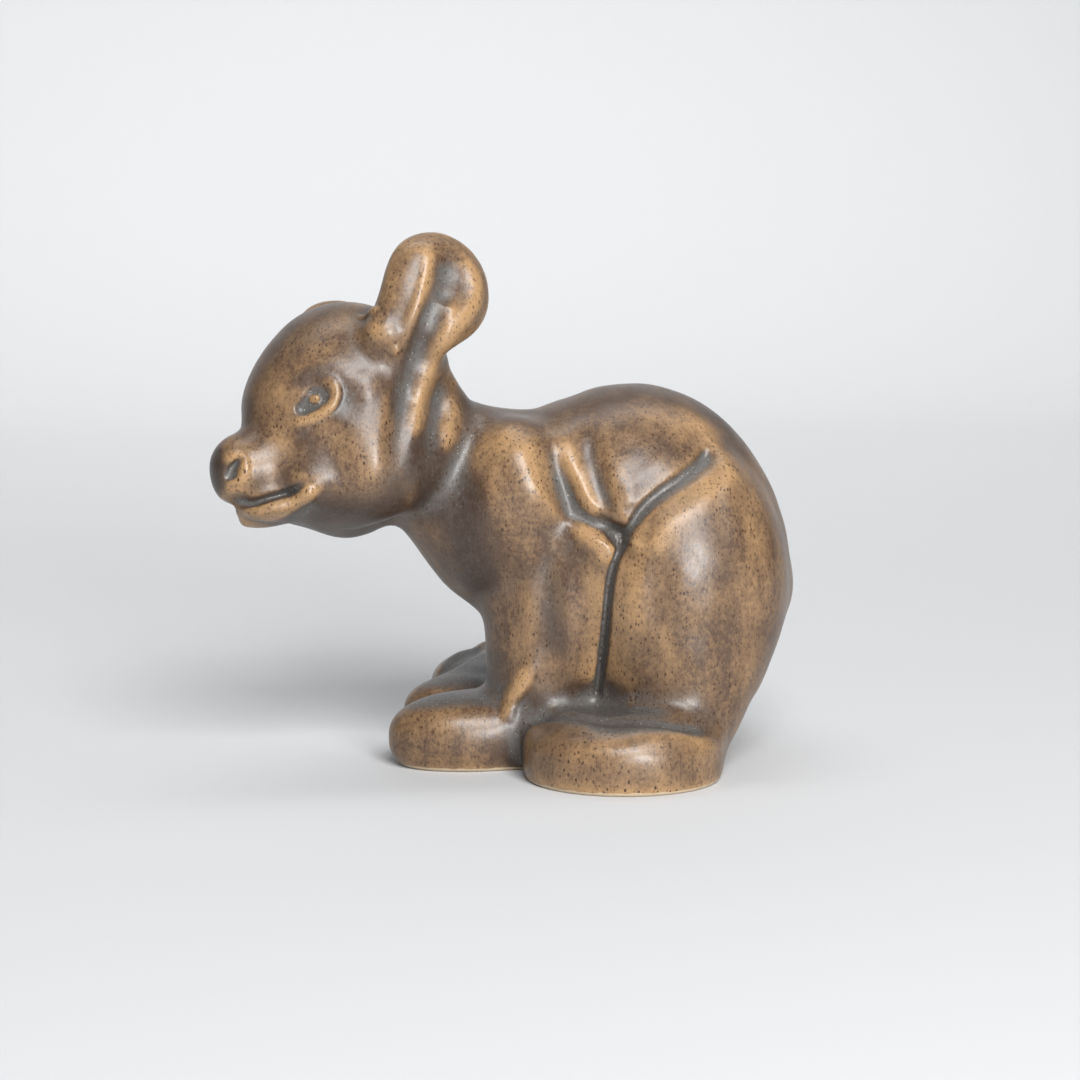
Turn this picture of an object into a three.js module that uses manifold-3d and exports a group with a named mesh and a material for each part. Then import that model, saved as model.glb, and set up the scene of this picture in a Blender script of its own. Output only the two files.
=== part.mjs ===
// Bear figurine: a young bear crouching on all fours, moulded in stoneware as one piece
// and standing on its flat underside.
// Millimetres, +Z up. The head is towards -X, and the raised ear is on the -Y side.
// The clay is one distance function, built from rounded masses and carved lines. It is
// turned into triangles, thinned out where the surface is calm, and cut flat underneath.

import * as THREE from "three";
import { mergeVertices } from "three/addons/utils/BufferGeometryUtils.js";
import Module from "manifold-3d";

// Base to the top of the raised ear.
const HEIGHT = 140;

// The carving and the pose follow the height: the tables below are written for this height.
const DRAWN_HEIGHT = 140;
const unit = HEIGHT / DRAWN_HEIGHT;
const sized = (values) => values.map((value) => value * unit);

// The mesh: the size of a cell and the triangles that are kept.
const CELL = 1.5 * unit;
const FACES = 9400;

// The head is modelled looking straight on, then tilted so that the near ear is raised
// and turned towards the near side. The far ear sits further forward.
const HEAD = { centre: [-43.5, -6, 96], turn: 17, tilt: 20, farEar: [7, 0] };

// Every mass of clay: its centre, its half sizes and how softly it runs into the others.
const TORSO = {
  hump: { centre: [34.5, 0, 62], size: [37.5, 33, 37.6] },
  rump: { centre: [44.5, 0, 47], size: [33.5, 37, 37], soft: 9 },
  seat: { centre: [40, 0, 20], size: [26, 30, 30], soft: 8 },
  web: { centre: [14, 2, 8], size: [20, 22, 20], soft: 6 },
  tail: { centre: [71.5, 0, 45], size: [6.5, 9, 9], soft: 5 },
};
const FRONT = {
  chest: { centre: [4, 0, 65], size: [25, 27, 27] },
  withers: { centre: [-1, 0, 75.4], size: [13.5, 18, 13], soft: 4 },
  loin: { centre: [17, 0, 83], size: [11, 22, 11.5], soft: 6 },
  belly: { centre: [18, 0, 36], size: [22, 27, 30], soft: 8 },
};
const NECK = { from: [-25, -4, 84.5], to: [0, 0, 66], radii: [17.7, 22], soft: 8 };
const NAPE = { from: [-22, -13, 105], to: [-19, -8, 95], radii: [6.5, 8], soft: 4 };

// The legs of one side: the near feet stand wider and the far ones are set differently.
const NEAR = { side: -1, hind: 0, fore: 0, apart: 10.5, raised: 0 };
const FAR = { side: 1, hind: -17.5, fore: 6.5, apart: 16, raised: 4 };
const THIGH = { centre: [45, 19, 47], size: [27.5, 21.5, 38] };
const SHANK = { from: [48, 23, 27], to: [41, 25, 8], radii: [15, 14], soft: 8 };
const HEEL = { from: [46, 24, 15], to: [39, 34, 7], radii: [12, 11], soft: 6 };
const FOOT = { centre: [27, 34, 6], size: [26, 23, 11.8], turn: 8, square: 3, soft: 4 };
const ARM = { from: [9, 0, 56], to: [8.5, 0, 8], radii: [14.5, 14.5] };
const ELBOW = { centre: [15, 15, 46], size: [11, 12, 15], soft: 6 };
const SHOULDER = { centre: [2, 14, 73], size: [17, 15, 19], soft: 6 };
const PAW = { centre: [-6, 0, 7.5], size: [26, 14.5, 11.7], turn: -5, square: 2.5, soft: 4 };

// The head, in its own frame: forward, sideways, up.
const SKULL = {
  cranium: { centre: [-2.3, 0, 1.2], size: [24.1, 24.2, 24.9] },
  forehead: { centre: [9.6, 0, -2], size: [16, 16.5, 14.5], soft: 8 },
  cheek: { centre: [-4, 11, -17.5], size: [16, 12.5, 15.8], soft: 8 },
  jaw: { centre: [3.5, 0, -25], size: [13.5, 13, 9], soft: 8 },
  corner: { centre: [14, 10.4, -23.6], size: [6, 4.6, 4.6], soft: 6 },
  nose: { centre: [30.3, 0, -16], size: [5.8, 7.5, 6.4], soft: 4 },
  lip: { centre: [29.3, 0, -20.5], size: [6, 6.5, 4.5], soft: 3 },
  chin: { centre: [20.5, 0, -27.2], size: [10.5, 9, 3.9], soft: 2 },
};
const MUZZLE = { from: [12, 0, -14], to: [25, 0, -17], radii: [14, 9.6], soft: 6 };
const EAR = {
  leaf: { centre: [-20, 28, 21.5], size: [13.8, 6, 15] },
  roll: { from: [-5.3, 25, 11], to: [-15.5, 28.5, 28], radii: [5.7, 5.5], soft: 4 },
  root: { from: [-12, 19, 5], to: [-17, 26, 16], radii: [8, 7], soft: 6 },
};

// Carved lines, seen from the side: a path, its half width at both ends, its depth, which is
// less than nothing for a ridge, how far from the middle it starts, and over which share of
// its length it fades out at its start and at its end.
const FLANK = {
  legLine: {
    path: [[22.4, 19.5], [23, 32.4], [23.3, 41.7], [23.8, 50], [25, 56], [27, 60.5]],
    wide: [2.7, 2.5],
    deep: 2.2,
    from: 6,
  },
  legLineShoulders: {
    path: [[21.6, 20], [23, 35], [24, 50], [27.4, 62]],
    wide: [8, 7],
    deep: 1.5,
    from: 6,
    ends: [0, 0.2],
  },
  loinLine: {
    path: [[26.6, 60], [29.7, 65.9], [33.2, 70.4], [37.4, 73.7], [42.8, 76.9], [48.1, 80.2], [52, 83.4]],
    wide: [2.5, 3.6],
    deep: 1.6,
    from: 6,
    ends: [0, 0.12],
  },
  loinLineShoulders: {
    path: [[28, 62], [33.2, 70.4], [42.8, 77.2], [53, 84.5]],
    wide: [6, 9],
    deep: 1.3,
    from: 6,
    ends: [0.1, 0.3],
  },
  ribLine: {
    path: [[27, 62], [24.4, 66.4], [22, 71.5], [20.7, 77], [19.6, 85], [18.6, 92]],
    wide: [3, 5.6],
    deep: 1.5,
    from: 6,
    ends: [0, 0.6],
  },
  ribRidge: {
    path: [[23.5, 66], [18.6, 73], [15.9, 80], [13.2, 90]],
    wide: [2.6, 5],
    deep: -0.9,
    from: 6,
    ends: [0.3, 0.4],
  },
  shoulderValley: {
    path: [[26, 62.5], [20, 66.5], [15, 70], [10.9, 76.5], [8.3, 83.2], [6, 93]],
    wide: [3.2, 7.5],
    deep: 1.9,
    from: 6,
    ends: [0, 0.4],
  },
  shoulderRidge: {
    path: [[7, 70], [2.6, 80], [0, 88]],
    wide: [7, 7],
    deep: -0.7,
    from: 6,
    ends: [0.3, 0.3],
  },
  elbowLine: {
    path: [[26, 62], [20, 65.6], [14, 66.6], [8, 65]],
    wide: [2.8, 6],
    deep: 0.8,
    from: 6,
    ends: [0, 0.7],
  },
  elbowBump: {
    path: [[15, 62], [20, 60.6], [23.4, 55.6]],
    wide: [5, 4],
    deep: -0.9,
    from: 6,
    ends: [0.4, 0.2],
  },
  flankPit: {
    path: [[27.2, 59.8], [26.6, 62.8]],
    wide: [4.2, 4.2],
    deep: 1.3,
    from: 6,
  },
  hipEdge: {
    path: [[48.5, 90.5], [53, 86], [55.6, 80.1], [56.2, 75.4], [57, 68.9], [58.8, 58]],
    wide: [4.5, 6.5],
    deep: -0.9,
    from: 6,
    ends: [0.4, 0.5],
  },
  rumpFlute: {
    path: [[57, 56], [55, 38], [51, 22]],
    wide: [8, 7],
    deep: 0.8,
    from: 6,
    ends: [0.5, 0.4],
  },
  armHollow: {
    path: [[7.4, 62], [8.6, 46], [8.4, 26]],
    wide: [5.5, 5.5],
    deep: 0.7,
    from: 6,
    ends: [0.5, 0.5],
  },
  wristEdge: {
    path: [[5.4, 30], [2, 23.5], [-0.8, 18.6], [-2, 13]],
    wide: [3.6, 3],
    deep: -1.1,
    from: 6,
    ends: [0.5, 0.3],
  },
};

// Folds of the neck on the side that the head turns to.
const NECK_FOLDS = {
  jowlFold: {
    path: [[-24.6, 111], [-26.6, 104], [-28.6, 97], [-30, 88.3], [-31, 80.9], [-31.4, 73]],
    wide: [4.6, 6.5],
    deep: 1.5,
    from: 2,
    ends: [0.4, 0.5],
  },
  neckRidge: {
    path: [[-21.4, 108], [-24, 98.8], [-26.6, 89.3], [-28.6, 78]],
    wide: [4.4, 5],
    deep: -0.8,
    from: 2,
    ends: [0.3, 0.5],
  },
  napeFold: {
    path: [[-15.4, 107], [-18.2, 99], [-20.4, 92], [-22.6, 85], [-25, 76]],
    wide: [3.2, 6],
    deep: 1.1,
    from: 2,
    ends: [0.3, 0.6],
  },
  shoulderFold: {
    path: [[-7, 93], [-11, 84], [-14.5, 74], [-16, 66]],
    wide: [7, 9],
    deep: 1.3,
    from: 2,
    ends: [0.4, 0.6],
  },
};
const FACE = {
  mouth: {
    path: [[36, -24.6], [31.6, -25.8], [29, -26.8], [25.4, -26.4], [22, -25.8], [18.4, -25.2]],
    wide: [2, 1.8],
    deep: 2.1,
    from: 0,
    ends: [0, 0.1],
  },
  lowerLip: {
    path: [[31, -29.8], [27, -30.2], [22, -29.6], [18, -28.2], [15.4, -26.6]],
    wide: [2.6, 2.8],
    deep: -1.3,
    from: 0,
    ends: [0.3, 0.2],
  },
  eyeSocket: {
    path: [[16.5, -5], [12.4, -1.6]],
    wide: [7.5, 7.5],
    deep: 0.6,
    from: 8,
  },
  eyePit: {
    path: [[15.8, -5.4], [14.4, -4.5], [13.2, -3.5]],
    wide: [2.5, 3.6],
    deep: 1.4,
    from: 10,
  },
  eyelid: {
    path: [[19, -8.8], [16, -8.8], [12.8, -8], [10, -6.2], [8.8, -3.6], [9.4, -0.6], [11.4, 1.2]],
    wide: [1.8, 2.2],
    deep: -1.1,
    from: 10,
    ends: [0.4, 0.4],
  },
  templeHollow: {
    path: [[6.4, 0], [6, -6], [7.4, -11]],
    wide: [5, 5],
    deep: 0.5,
    from: 10,
    ends: [0.5, 0.5],
  },
  templeBulge: {
    path: [[2.4, 2], [0.4, -6]],
    wide: [7.5, 7.5],
    deep: -0.5,
    from: 10,
    ends: [0.5, 0.5],
  },
};
const EAR_FOLDS = {
  channel: {
    path: [[-20.6, 28], [-19, 23], [-17, 18], [-15.4, 13.4], [-14.2, 9], [-12.6, 3], [-11.4, -4]],
    wide: [5, 5.4],
    deep: 1.9,
    from: 20,
    ends: [0.4, 0.5],
  },
  edge: {
    path: [[-16.4, 31], [-14.8, 23.6], [-12.6, 17.8], [-9.6, 12], [-7.6, 7.6]],
    wide: [2.6, 2.8],
    deep: -0.7,
    from: 20,
    ends: [0.3, 0.4],
  },
  bowl: {
    path: [[-22.6, 27], [-22, 20.5], [-19, 15]],
    wide: [6.4, 5],
    deep: 1.2,
    from: 20,
    ends: [0.4, 0.3],
  },
  rim: {
    path: [[-25.6, 31], [-29.2, 23], [-28, 16.4], [-23.8, 11.2], [-19, 6], [-18, 0]],
    wide: [3.6, 3.6],
    deep: -0.8,
    from: 20,
    ends: [0.4, 0.5],
  },
};

// Carved lines on top of a hind foot, seen from above, as distances from the foot's own place.
const FOOT_TOP = {
  trough: {
    path: [[4, 24], [11, 34], [20, 41], [30, 45], [40, 46], [51, 40]],
    wide: [5, 5.5],
    deep: 1.5,
    from: 8,
    ends: [0.1, 0.2],
  },
  rim: {
    path: [[8, 33], [12, 42.5], [19.5, 49], [28.6, 52], [38.4, 51], [48, 44]],
    wide: [4, 4],
    deep: -0.5,
    from: 8,
    ends: [0.2, 0.3],
  },
};
const NOSTRIL = { centre: [34.6, 6, -17.8], size: [2.2, 3.2, 2.4] };

// How softly the larger groups run into one another.
const BLEND = { back: 3 * unit, leg: 4 * unit, head: 5 * unit, ear: 5 * unit, nostril: unit };

// Over how much depth a carved line fades in, from the middle outwards.
const FADE = { flank: 10 * unit, neck: 12 * unit, face: 5 * unit, foot: 4 * unit };

// Carving reaches this far from the surface, each leg this far past the middle, and the
// head no further back than this.
const CARVED = 6 * unit;
const PAST_MIDDLE = 12 * unit;
const HEAD_ENDS = 5 * unit;

const degree = Math.PI / 180;

// An ellipsoid of clay.
function lump({ centre, size, soft = 0 }, side = 1) {
  const [X, Y, Z] = sized([centre[0], centre[1] * side, centre[2]]);
  const [A, B, C] = sized(size);
  const field = (x, y, z) => {
    const u = (x - X) / A;
    const v = (y - Y) / B;
    const w = (z - Z) / C;
    const k = Math.sqrt(u * u + v * v + w * w);
    if (k < 1e-6) return -Math.min(A, B, C);
    return k * (k - 1) / Math.sqrt((u / A) ** 2 + (v / B) ** 2 + (w / C) ** 2);
  };
  return { field, soft: soft * unit };
}

// A tapered bar with round ends.
function limb({ from, to, radii, soft }, side = 1) {
  const [ax, ay, az] = sized([from[0], from[1] * side, from[2]]);
  const [bx, by, bz] = sized([to[0] - from[0], (to[1] - from[1]) * side, to[2] - from[2]]);
  const [r1, r2] = sized(radii);
  const l2 = bx * bx + by * by + bz * bz;
  const rr = r1 - r2;
  const a2 = l2 - rr * rr;
  const il2 = 1 / l2;
  const field = (x, y, z) => {
    const px = x - ax;
    const py = y - ay;
    const pz = z - az;
    const along = px * bx + py * by + pz * bz;
    const past = along - l2;
    const qx = px * l2 - bx * along;
    const qy = py * l2 - by * along;
    const qz = pz * l2 - bz * along;
    const x2 = qx * qx + qy * qy + qz * qz;
    const y2 = along * along * l2;
    const z2 = past * past * l2;
    const k = Math.sign(rr) * rr * rr * x2;
    if (Math.sign(past) * a2 * z2 > k) return Math.sqrt(x2 + z2) * il2 - r2;
    if (Math.sign(along) * a2 * y2 < k) return Math.sqrt(x2 + y2) * il2 - r1;
    return (Math.sqrt(x2 * a2 * il2) + along * rr) * il2 - r1;
  };
  return { field, soft: soft * unit };
}

// A foot: oval in plan, squarer in height, turned about the upright.
function pad({ centre, size, turn, square, soft }, side = 1) {
  const [X, Y, Z] = sized([centre[0], centre[1] * side, centre[2]]);
  const [A, B, C] = sized(size);
  const cosine = Math.cos(turn * side * degree);
  const sine = Math.sin(turn * side * degree);
  const field = (x, y, z) => {
    const u = (cosine * (x - X) + sine * (y - Y)) / A;
    const v = (cosine * (y - Y) - sine * (x - X)) / B;
    const w = Math.abs(z - Z) / C;
    const r = Math.max(Math.sqrt(u * u + v * v), 1e-6);
    const f = Math.max((r ** square + w ** square) ** (1 / square), 1e-3);
    const slope = Math.sqrt((u / A) ** 2 + (v / B) ** 2) / r;
    return (f - 1) / Math.hypot((r / f) ** (square - 1) * slope, (w / f) ** (square - 1) / C);
  };
  return { field, soft: soft * unit };
}

// Joins two distances with a rounded inside corner.
function soften(a, b, k) {
  const h = Math.max(k - Math.abs(a - b), 0) / k;
  return Math.min(a, b) - h * h * k / 4;
}

function together(list) {
  return (x, y, z) => {
    let d = list[0].field(x, y, z);
    for (let i = 1; i < list.length; i++) d = soften(d, list[i].field(x, y, z), list[i].soft);
    return d;
  };
}

// A smooth curve through a few points, as short steps.
function curve(path, steps = 6) {
  const out = [];
  for (let i = 0; i < path.length - 1; i++) {
    const [a, b, c, d] = [i - 1, i, i + 1, i + 2].map((n) => path[Math.max(0, Math.min(n, path.length - 1))]);
    for (let j = 0; j < steps; j++) {
      const t = j / steps;
      out.push([0, 1].map((n) => {
        const bend = 2 * a[n] - 5 * b[n] + 4 * c[n] - d[n];
        const twist = 3 * b[n] - a[n] - 3 * c[n] + d[n];
        return 0.5 * (2 * b[n] + (c[n] - a[n]) * t + bend * t * t + twist * t ** 3);
      }));
    }
  }
  out.push(path[path.length - 1]);
  return out;
}

const ramp = (v, from, to) => {
  const t = Math.min(1, Math.max(0, (v - from) / (to - from)));
  return t * t * (3 - 2 * t);
};

// How far past its end a line's fading runs, as a share of the fading.
const PAST_END = 0.3;

// How much a carved line takes away at a point of the side view.
function stroke({ path, wide, deep, from, ends = [0, 0] }) {
  const [starting, ending] = ends;
  const line = curve(path.map(sized));
  const radii = sized(wide);
  const last = line.length - 1;
  const reach = Math.max(...radii);
  const lo = [0, 1].map((n) => Math.min(...line.map((p) => p[n])) - reach);
  const hi = [0, 1].map((n) => Math.max(...line.map((p) => p[n])) + reach);
  const at = (a, b) => {
    if (a < lo[0] || b < lo[1] || a > hi[0] || b > hi[1]) return 0;
    let best = 1e9;
    let along = 0;
    for (let i = 0; i < last; i++) {
      const [p, q] = [line[i], line[i + 1]];
      const dx = q[0] - p[0];
      const dy = q[1] - p[1];
      const t = Math.min(1, Math.max(0, ((a - p[0]) * dx + (b - p[1]) * dy) / (dx * dx + dy * dy)));
      const e = (a - p[0] - t * dx) ** 2 + (b - p[1] - t * dy) ** 2;
      if (e < best) {
        best = e;
        along = (i + t) / last;
      }
    }
    const r = radii[0] + (radii[1] - radii[0]) * along;
    const s = best / (r * r);
    if (s >= 1) return 0;
    const begun = starting ? ramp(along, -PAST_END * starting, starting) : 1;
    const over = ending ? ramp(along, 1 - ending, 1 + PAST_END * ending) : 0;
    return deep * unit * (1 - s) ** 2 * begun * (1 - over);
  };
  return { at, from: from * unit };
}

// Adds a table of carved lines to a distance.
function carver(table, fade) {
  const lines = Object.values(table).map(stroke);
  return (d, a, side, b) => {
    if (Math.abs(d) > CARVED) return d;
    return lines.reduce((sum, line) => {
      const cut = line.at(a, b);
      return cut ? sum + cut * ramp(side, line.from, line.from + fade) : sum;
    }, d);
  };
}
const carveFlank = carver(FLANK, FADE.flank);
const carveNeck = carver(NECK_FOLDS, FADE.neck);
const carveFace = carver(FACE, FADE.face);
const carveEar = carver(EAR_FOLDS, FADE.face);
const carveFoot = carver(FOOT_TOP, FADE.foot);

const torso = together(Object.values(TORSO).map((m) => lump(m)));
const front = together([...Object.values(FRONT).map((m) => lump(m)), limb(NECK), limb(NAPE)]);

function legs({ side, hind, fore, apart, raised }) {
  const place = (m, dx, dy = 0, dz = 0) => ({
    ...m,
    ...(m.centre ? { centre: [m.centre[0] + dx, m.centre[1] + dy, m.centre[2] + dz] } : {}),
    ...(m.from ? { from: [m.from[0] + dx, m.from[1] + dy, m.from[2]] } : {}),
    ...(m.to ? { to: [m.to[0] + dx, m.to[1] + dy, m.to[2]] } : {}),
  });
  const haunch = together([lump(THIGH, side), limb(SHANK, side), limb(HEEL, side)]);
  const foot = pad(place(FOOT, hind, 0, raised), side);
  const arm = together([
    limb(place(ARM, fore, apart), side),
    lump(ELBOW, side),
    lump(SHOULDER, side),
    pad(place(PAW, fore, apart), side),
  ]);
  return (x, y, z) => {
    const shod = carveFoot(foot.field(x, y, z), x - hind * unit, z - raised * unit, y * side);
    const behind = soften(haunch(x, y, z), shod, foot.soft);
    return soften(behind, arm(x, y, z), BLEND.leg);
  };
}
const nearLegs = legs(NEAR);
const farLegs = legs(FAR);

const turned = [Math.cos(HEAD.turn * degree), Math.sin(HEAD.turn * degree)];
const tilted = [Math.cos(HEAD.tilt * degree), Math.sin(HEAD.tilt * degree)];

// A point in the head's frame.
const headCentre = sized(HEAD.centre);
function toHead(x, y, z) {
  const dx = x - headCentre[0];
  const dy = y - headCentre[1];
  const dz = z - headCentre[2];
  const forward = -turned[0] * dx - turned[1] * dy;
  const across = turned[1] * dx - turned[0] * dy;
  return [forward, across * tilted[0] + dz * tilted[1], dz * tilted[0] - across * tilted[1]];
}

const skull = together([...Object.values(SKULL).map((m) => lump(m)), limb(MUZZLE)]);
const ear = together([lump(EAR.leaf), limb(EAR.roll), limb(EAR.root)]);
const nostril = lump(NOSTRIL);
const farEar = sized(HEAD.farEar);

function head(x, y, z) {
  const [u, v, w] = toHead(x, y, z);
  const side = Math.abs(v);
  const [earU, earW] = v < 0 ? [u - farEar[0], w - farEar[1]] : [u, w];
  const whole = soften(skull(u, side, w), ear(earU, side, earW), BLEND.ear);
  const d = carveEar(carveFace(whole, u, side, w), earU, side, earW);
  return -soften(-d, nostril.field(u, side, w), BLEND.nostril);
}

// Distance to the surface of the clay, negative inside.
function clay(x, y, z) {
  let d = soften(torso(x, y, z), front(x, y, z), BLEND.back);
  if (y < PAST_MIDDLE) d = soften(d, nearLegs(x, y, z), BLEND.leg);
  if (y > -PAST_MIDDLE) d = soften(d, farLegs(x, y, z), BLEND.leg);
  d = carveFlank(d, x, Math.abs(y), z);
  if (x < HEAD_ENDS) d = soften(d, head(x, y, z), BLEND.head);
  return carveNeck(d, x, -y, z);
}

// The balls or ends that a mass reaches out to, each with its place and its reach.
function ends({ centre, size, from, to, radii }) {
  if (centre) return [{ at: centre, out: size }];
  return [from, to].map((at, n) => ({ at, out: [radii[n], radii[n], radii[n]] }));
}

// A place in the head's frame, back in the body's frame.
function fromHead([u, v, w]) {
  const across = v * tilted[0] - w * tilted[1];
  return [
    HEAD.centre[0] - turned[0] * u + turned[1] * across,
    HEAD.centre[1] - turned[1] * u - turned[0] * across,
    HEAD.centre[2] + v * tilted[1] + w * tilted[0],
  ];
}

// The box that holds every mass, with its buried underside and some air around it.
function reach() {
  const air = 4;
  const bodyMasses = [...Object.values(TORSO), ...Object.values(FRONT), NECK, NAPE];
  const legMasses = [THIGH, SHANK, HEEL, FOOT, ARM, ELBOW, SHOULDER, PAW].flatMap(ends);
  const headMasses = [...Object.values(SKULL), MUZZLE, ...Object.values(EAR)].flatMap(ends);
  const furthest = (list) => Math.max(...list.map(Math.abs));
  const found = [
    ...bodyMasses.flatMap(ends),
    ...[NEAR, FAR].flatMap(({ side, hind, fore, apart, raised }) => legMasses.map(({ at, out }) => ({
      at: [at[0], side * at[1], at[2]],
      out: [
        Math.max(out[0], out[1]) + furthest([hind, fore]),
        Math.max(out[0], out[1]) + apart,
        out[2] + raised,
      ],
    }))),
    ...[1, -1].flatMap((side) => headMasses.map(({ at, out }) => ({
      at: fromHead([at[0], side * at[1], at[2]]),
      out: out.map(() => Math.max(...out) + (side < 0 ? furthest(HEAD.farEar) : 0)),
    }))),
  ];
  const corner = (way, pick) => [0, 1, 2].map((n) => {
    const limits = found.map(({ at, out }) => at[n] + way * (out[n] + air));
    return pick(...limits);
  });
  return { low: sized(corner(-1, Math.min)), high: sized(corner(1, Math.max)) };
}
const REACH = reach();

// The eight corners of a cell, its edges and its faces.
const CORNERS = [0, 1, 2, 3, 4, 5, 6, 7].map((a) => [a & 1, (a >> 1) & 1, (a >> 2) & 1]);
const EDGES = CORNERS.flatMap((_, a) => [1, 2, 4].filter((b) => !(a & b)).map((b) => [a, a | b]));
const SIDES = [[0, 1, 3, 2], [4, 5, 7, 6], [0, 1, 5, 4], [2, 3, 7, 6], [0, 2, 6, 4], [1, 3, 7, 5]];

// Whether two sheets of the surface would touch in a cell, for each pattern of its corners.
const TANGLED = Array.from({ length: 256 }, (_, pattern) => {
  const inside = CORNERS.map((_corner, a) => (pattern >> a) & 1);
  const saddle = SIDES.some(([a, b, c, d]) => {
    return inside[a] === inside[c] && inside[b] === inside[d] && inside[a] !== inside[b];
  });
  const group = CORNERS.map((_corner, a) => a);
  for (let round = 0; round < 8; round++) {
    for (const [a, b] of EDGES) {
      if (inside[a] === inside[b]) group[a] = group[b] = Math.min(group[a], group[b]);
    }
  }
  return saddle || new Set(group).size > 2;
});

// Fills single corners of the grid until no two sheets touch.
function untangle(values, count, at, filled) {
  for (let changed = true; changed;) {
    changed = false;
    for (let k = 0; k < count[2] - 1; k++) {
      for (let j = 0; j < count[1] - 1; j++) {
        for (let i = 0; i < count[0] - 1; i++) {
          const places = CORNERS.map(([a, b, c]) => at(i + a, j + b, k + c));
          const pattern = places.reduce((sum, place, a) => sum | (values[place] < 0 ? 1 << a : 0), 0);
          if (!TANGLED[pattern]) continue;
          const empty = places.filter((place) => values[place] >= 0);
          const shallowest = empty.reduce((a, b) => (values[a] < values[b] ? a : b));
          values[shallowest] = filled;
          changed = true;
        }
      }
    }
  }
}

// Walks through the box in cells and puts one point into each cell that the surface crosses.
function polygonise(field, { low, high }, cell) {
  const count = low.map((value, axis) => Math.ceil((high[axis] - value) / cell) + 1);
  const block = 4;
  const slack = block * cell * 1.5 + 2 * unit;
  const at = (i, j, k) => i + count[0] * (j + count[1] * k);
  const place = (i, axis) => low[axis] + i * cell;
  const values = new Float32Array(count[0] * count[1] * count[2]);
  const fillBlock = (I, J, K) => {
    const half = block / 2;
    const middle = field(place(I + half, 0), place(J + half, 1), place(K + half, 2));
    const close = Math.abs(middle) < slack;
    for (let k = K; k < Math.min(K + block, count[2]); k++) {
      for (let j = J; j < Math.min(J + block, count[1]); j++) {
        for (let i = I; i < Math.min(I + block, count[0]); i++) {
          values[at(i, j, k)] = close ? field(place(i, 0), place(j, 1), place(k, 2)) : middle;
        }
      }
    }
  };
  for (let K = 0; K < count[2]; K += block) {
    for (let J = 0; J < count[1]; J += block) {
      for (let I = 0; I < count[0]; I += block) fillBlock(I, J, K);
    }
  }
  untangle(values, count, at, -0.05 * cell);

  const index = new Int32Array(values.length).fill(-1);
  const points = [];
  const addPoint = (i, j, k) => {
    const v = CORNERS.map(([a, b, c]) => values[at(i + a, j + b, k + c)]);
    const crossed = EDGES.filter(([a, b]) => (v[a] < 0) !== (v[b] < 0));
    if (!crossed.length) return;
    const sum = [0, 0, 0];
    for (const [a, b] of crossed) {
      const t = v[a] / (v[a] - v[b]);
      for (let n = 0; n < 3; n++) sum[n] += CORNERS[a][n] + t * (CORNERS[b][n] - CORNERS[a][n]);
    }
    index[at(i, j, k)] = points.length;
    points.push([i, j, k].map((value, n) => place(value + sum[n] / crossed.length, n)));
  };
  for (let k = 0; k < count[2] - 1; k++) {
    for (let j = 0; j < count[1] - 1; j++) {
      for (let i = 0; i < count[0] - 1; i++) addPoint(i, j, k);
    }
  }

  const triangles = [];
  const addQuad = (a, b, c, d, inside) => {
    const [p, q, r, s] = (inside ? [a, b, c, d] : [a, d, c, b]).map(([i, j, k]) => index[at(i, j, k)]);
    triangles.push([p, q, r], [p, r, s]);
  };
  for (let k = 1; k < count[2] - 1; k++) {
    for (let j = 1; j < count[1] - 1; j++) {
      for (let i = 1; i < count[0] - 1; i++) {
        const inside = values[at(i, j, k)] < 0;
        if (inside !== values[at(i + 1, j, k)] < 0) {
          addQuad([i, j - 1, k - 1], [i, j, k - 1], [i, j, k], [i, j - 1, k], inside);
        }
        if (inside !== values[at(i, j + 1, k)] < 0) {
          addQuad([i - 1, j, k - 1], [i - 1, j, k], [i, j, k], [i, j, k - 1], inside);
        }
        if (inside !== values[at(i, j, k + 1)] < 0) {
          addQuad([i - 1, j - 1, k], [i, j - 1, k], [i, j, k], [i - 1, j, k], inside);
        }
      }
    }
  }
  return { points, triangles };
}

// Leaves out the small hollows that carved lines can enclose under the surface.
function outerShell({ points, triangles }) {
  const parent = points.map((_, v) => v);
  const root = (v) => {
    while (parent[v] !== v) {
      parent[v] = parent[parent[v]];
      v = parent[v];
    }
    return v;
  };
  for (const [a, b, c] of triangles) {
    parent[root(a)] = root(b);
    parent[root(b)] = root(c);
  }
  const size = new Map();
  points.forEach((_, v) => size.set(root(v), (size.get(root(v)) ?? 0) + 1));
  const [largest] = [...size.entries()].reduce((best, entry) => (entry[1] > best[1] ? entry : best));
  return { points, triangles: triangles.filter(([a]) => root(a) === largest) };
}

// Slides a point along the slope of the field onto the surface.
function settle(point, field, rounds = 2) {
  const step = 0.15 * unit;
  const furthest = 0.5 * unit;
  let p = point;
  for (let n = 0; n < rounds; n++) {
    const distance = field(...p);
    const slope = [0, 1, 2].map((axis) => {
      const shift = p.map((value, i) => value + (i === axis ? step : 0));
      return (field(...shift) - distance) / step;
    });
    const size = Math.max(slope.reduce((sum, value) => sum + value * value, 0), 0.5);
    const move = Math.max(-furthest, Math.min(furthest, distance / Math.sqrt(size))) / Math.sqrt(size);
    p = p.map((value, i) => value - slope[i] * move);
  }
  return p;
}

const minus = (a, b) => [a[0] - b[0], a[1] - b[1], a[2] - b[2]];
const dot = (a, b) => a[0] * b[0] + a[1] * b[1] + a[2] * b[2];
const cross = (a, b) => [a[1] * b[2] - a[2] * b[1], a[2] * b[0] - a[0] * b[2], a[0] * b[1] - a[1] * b[0]];

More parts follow.
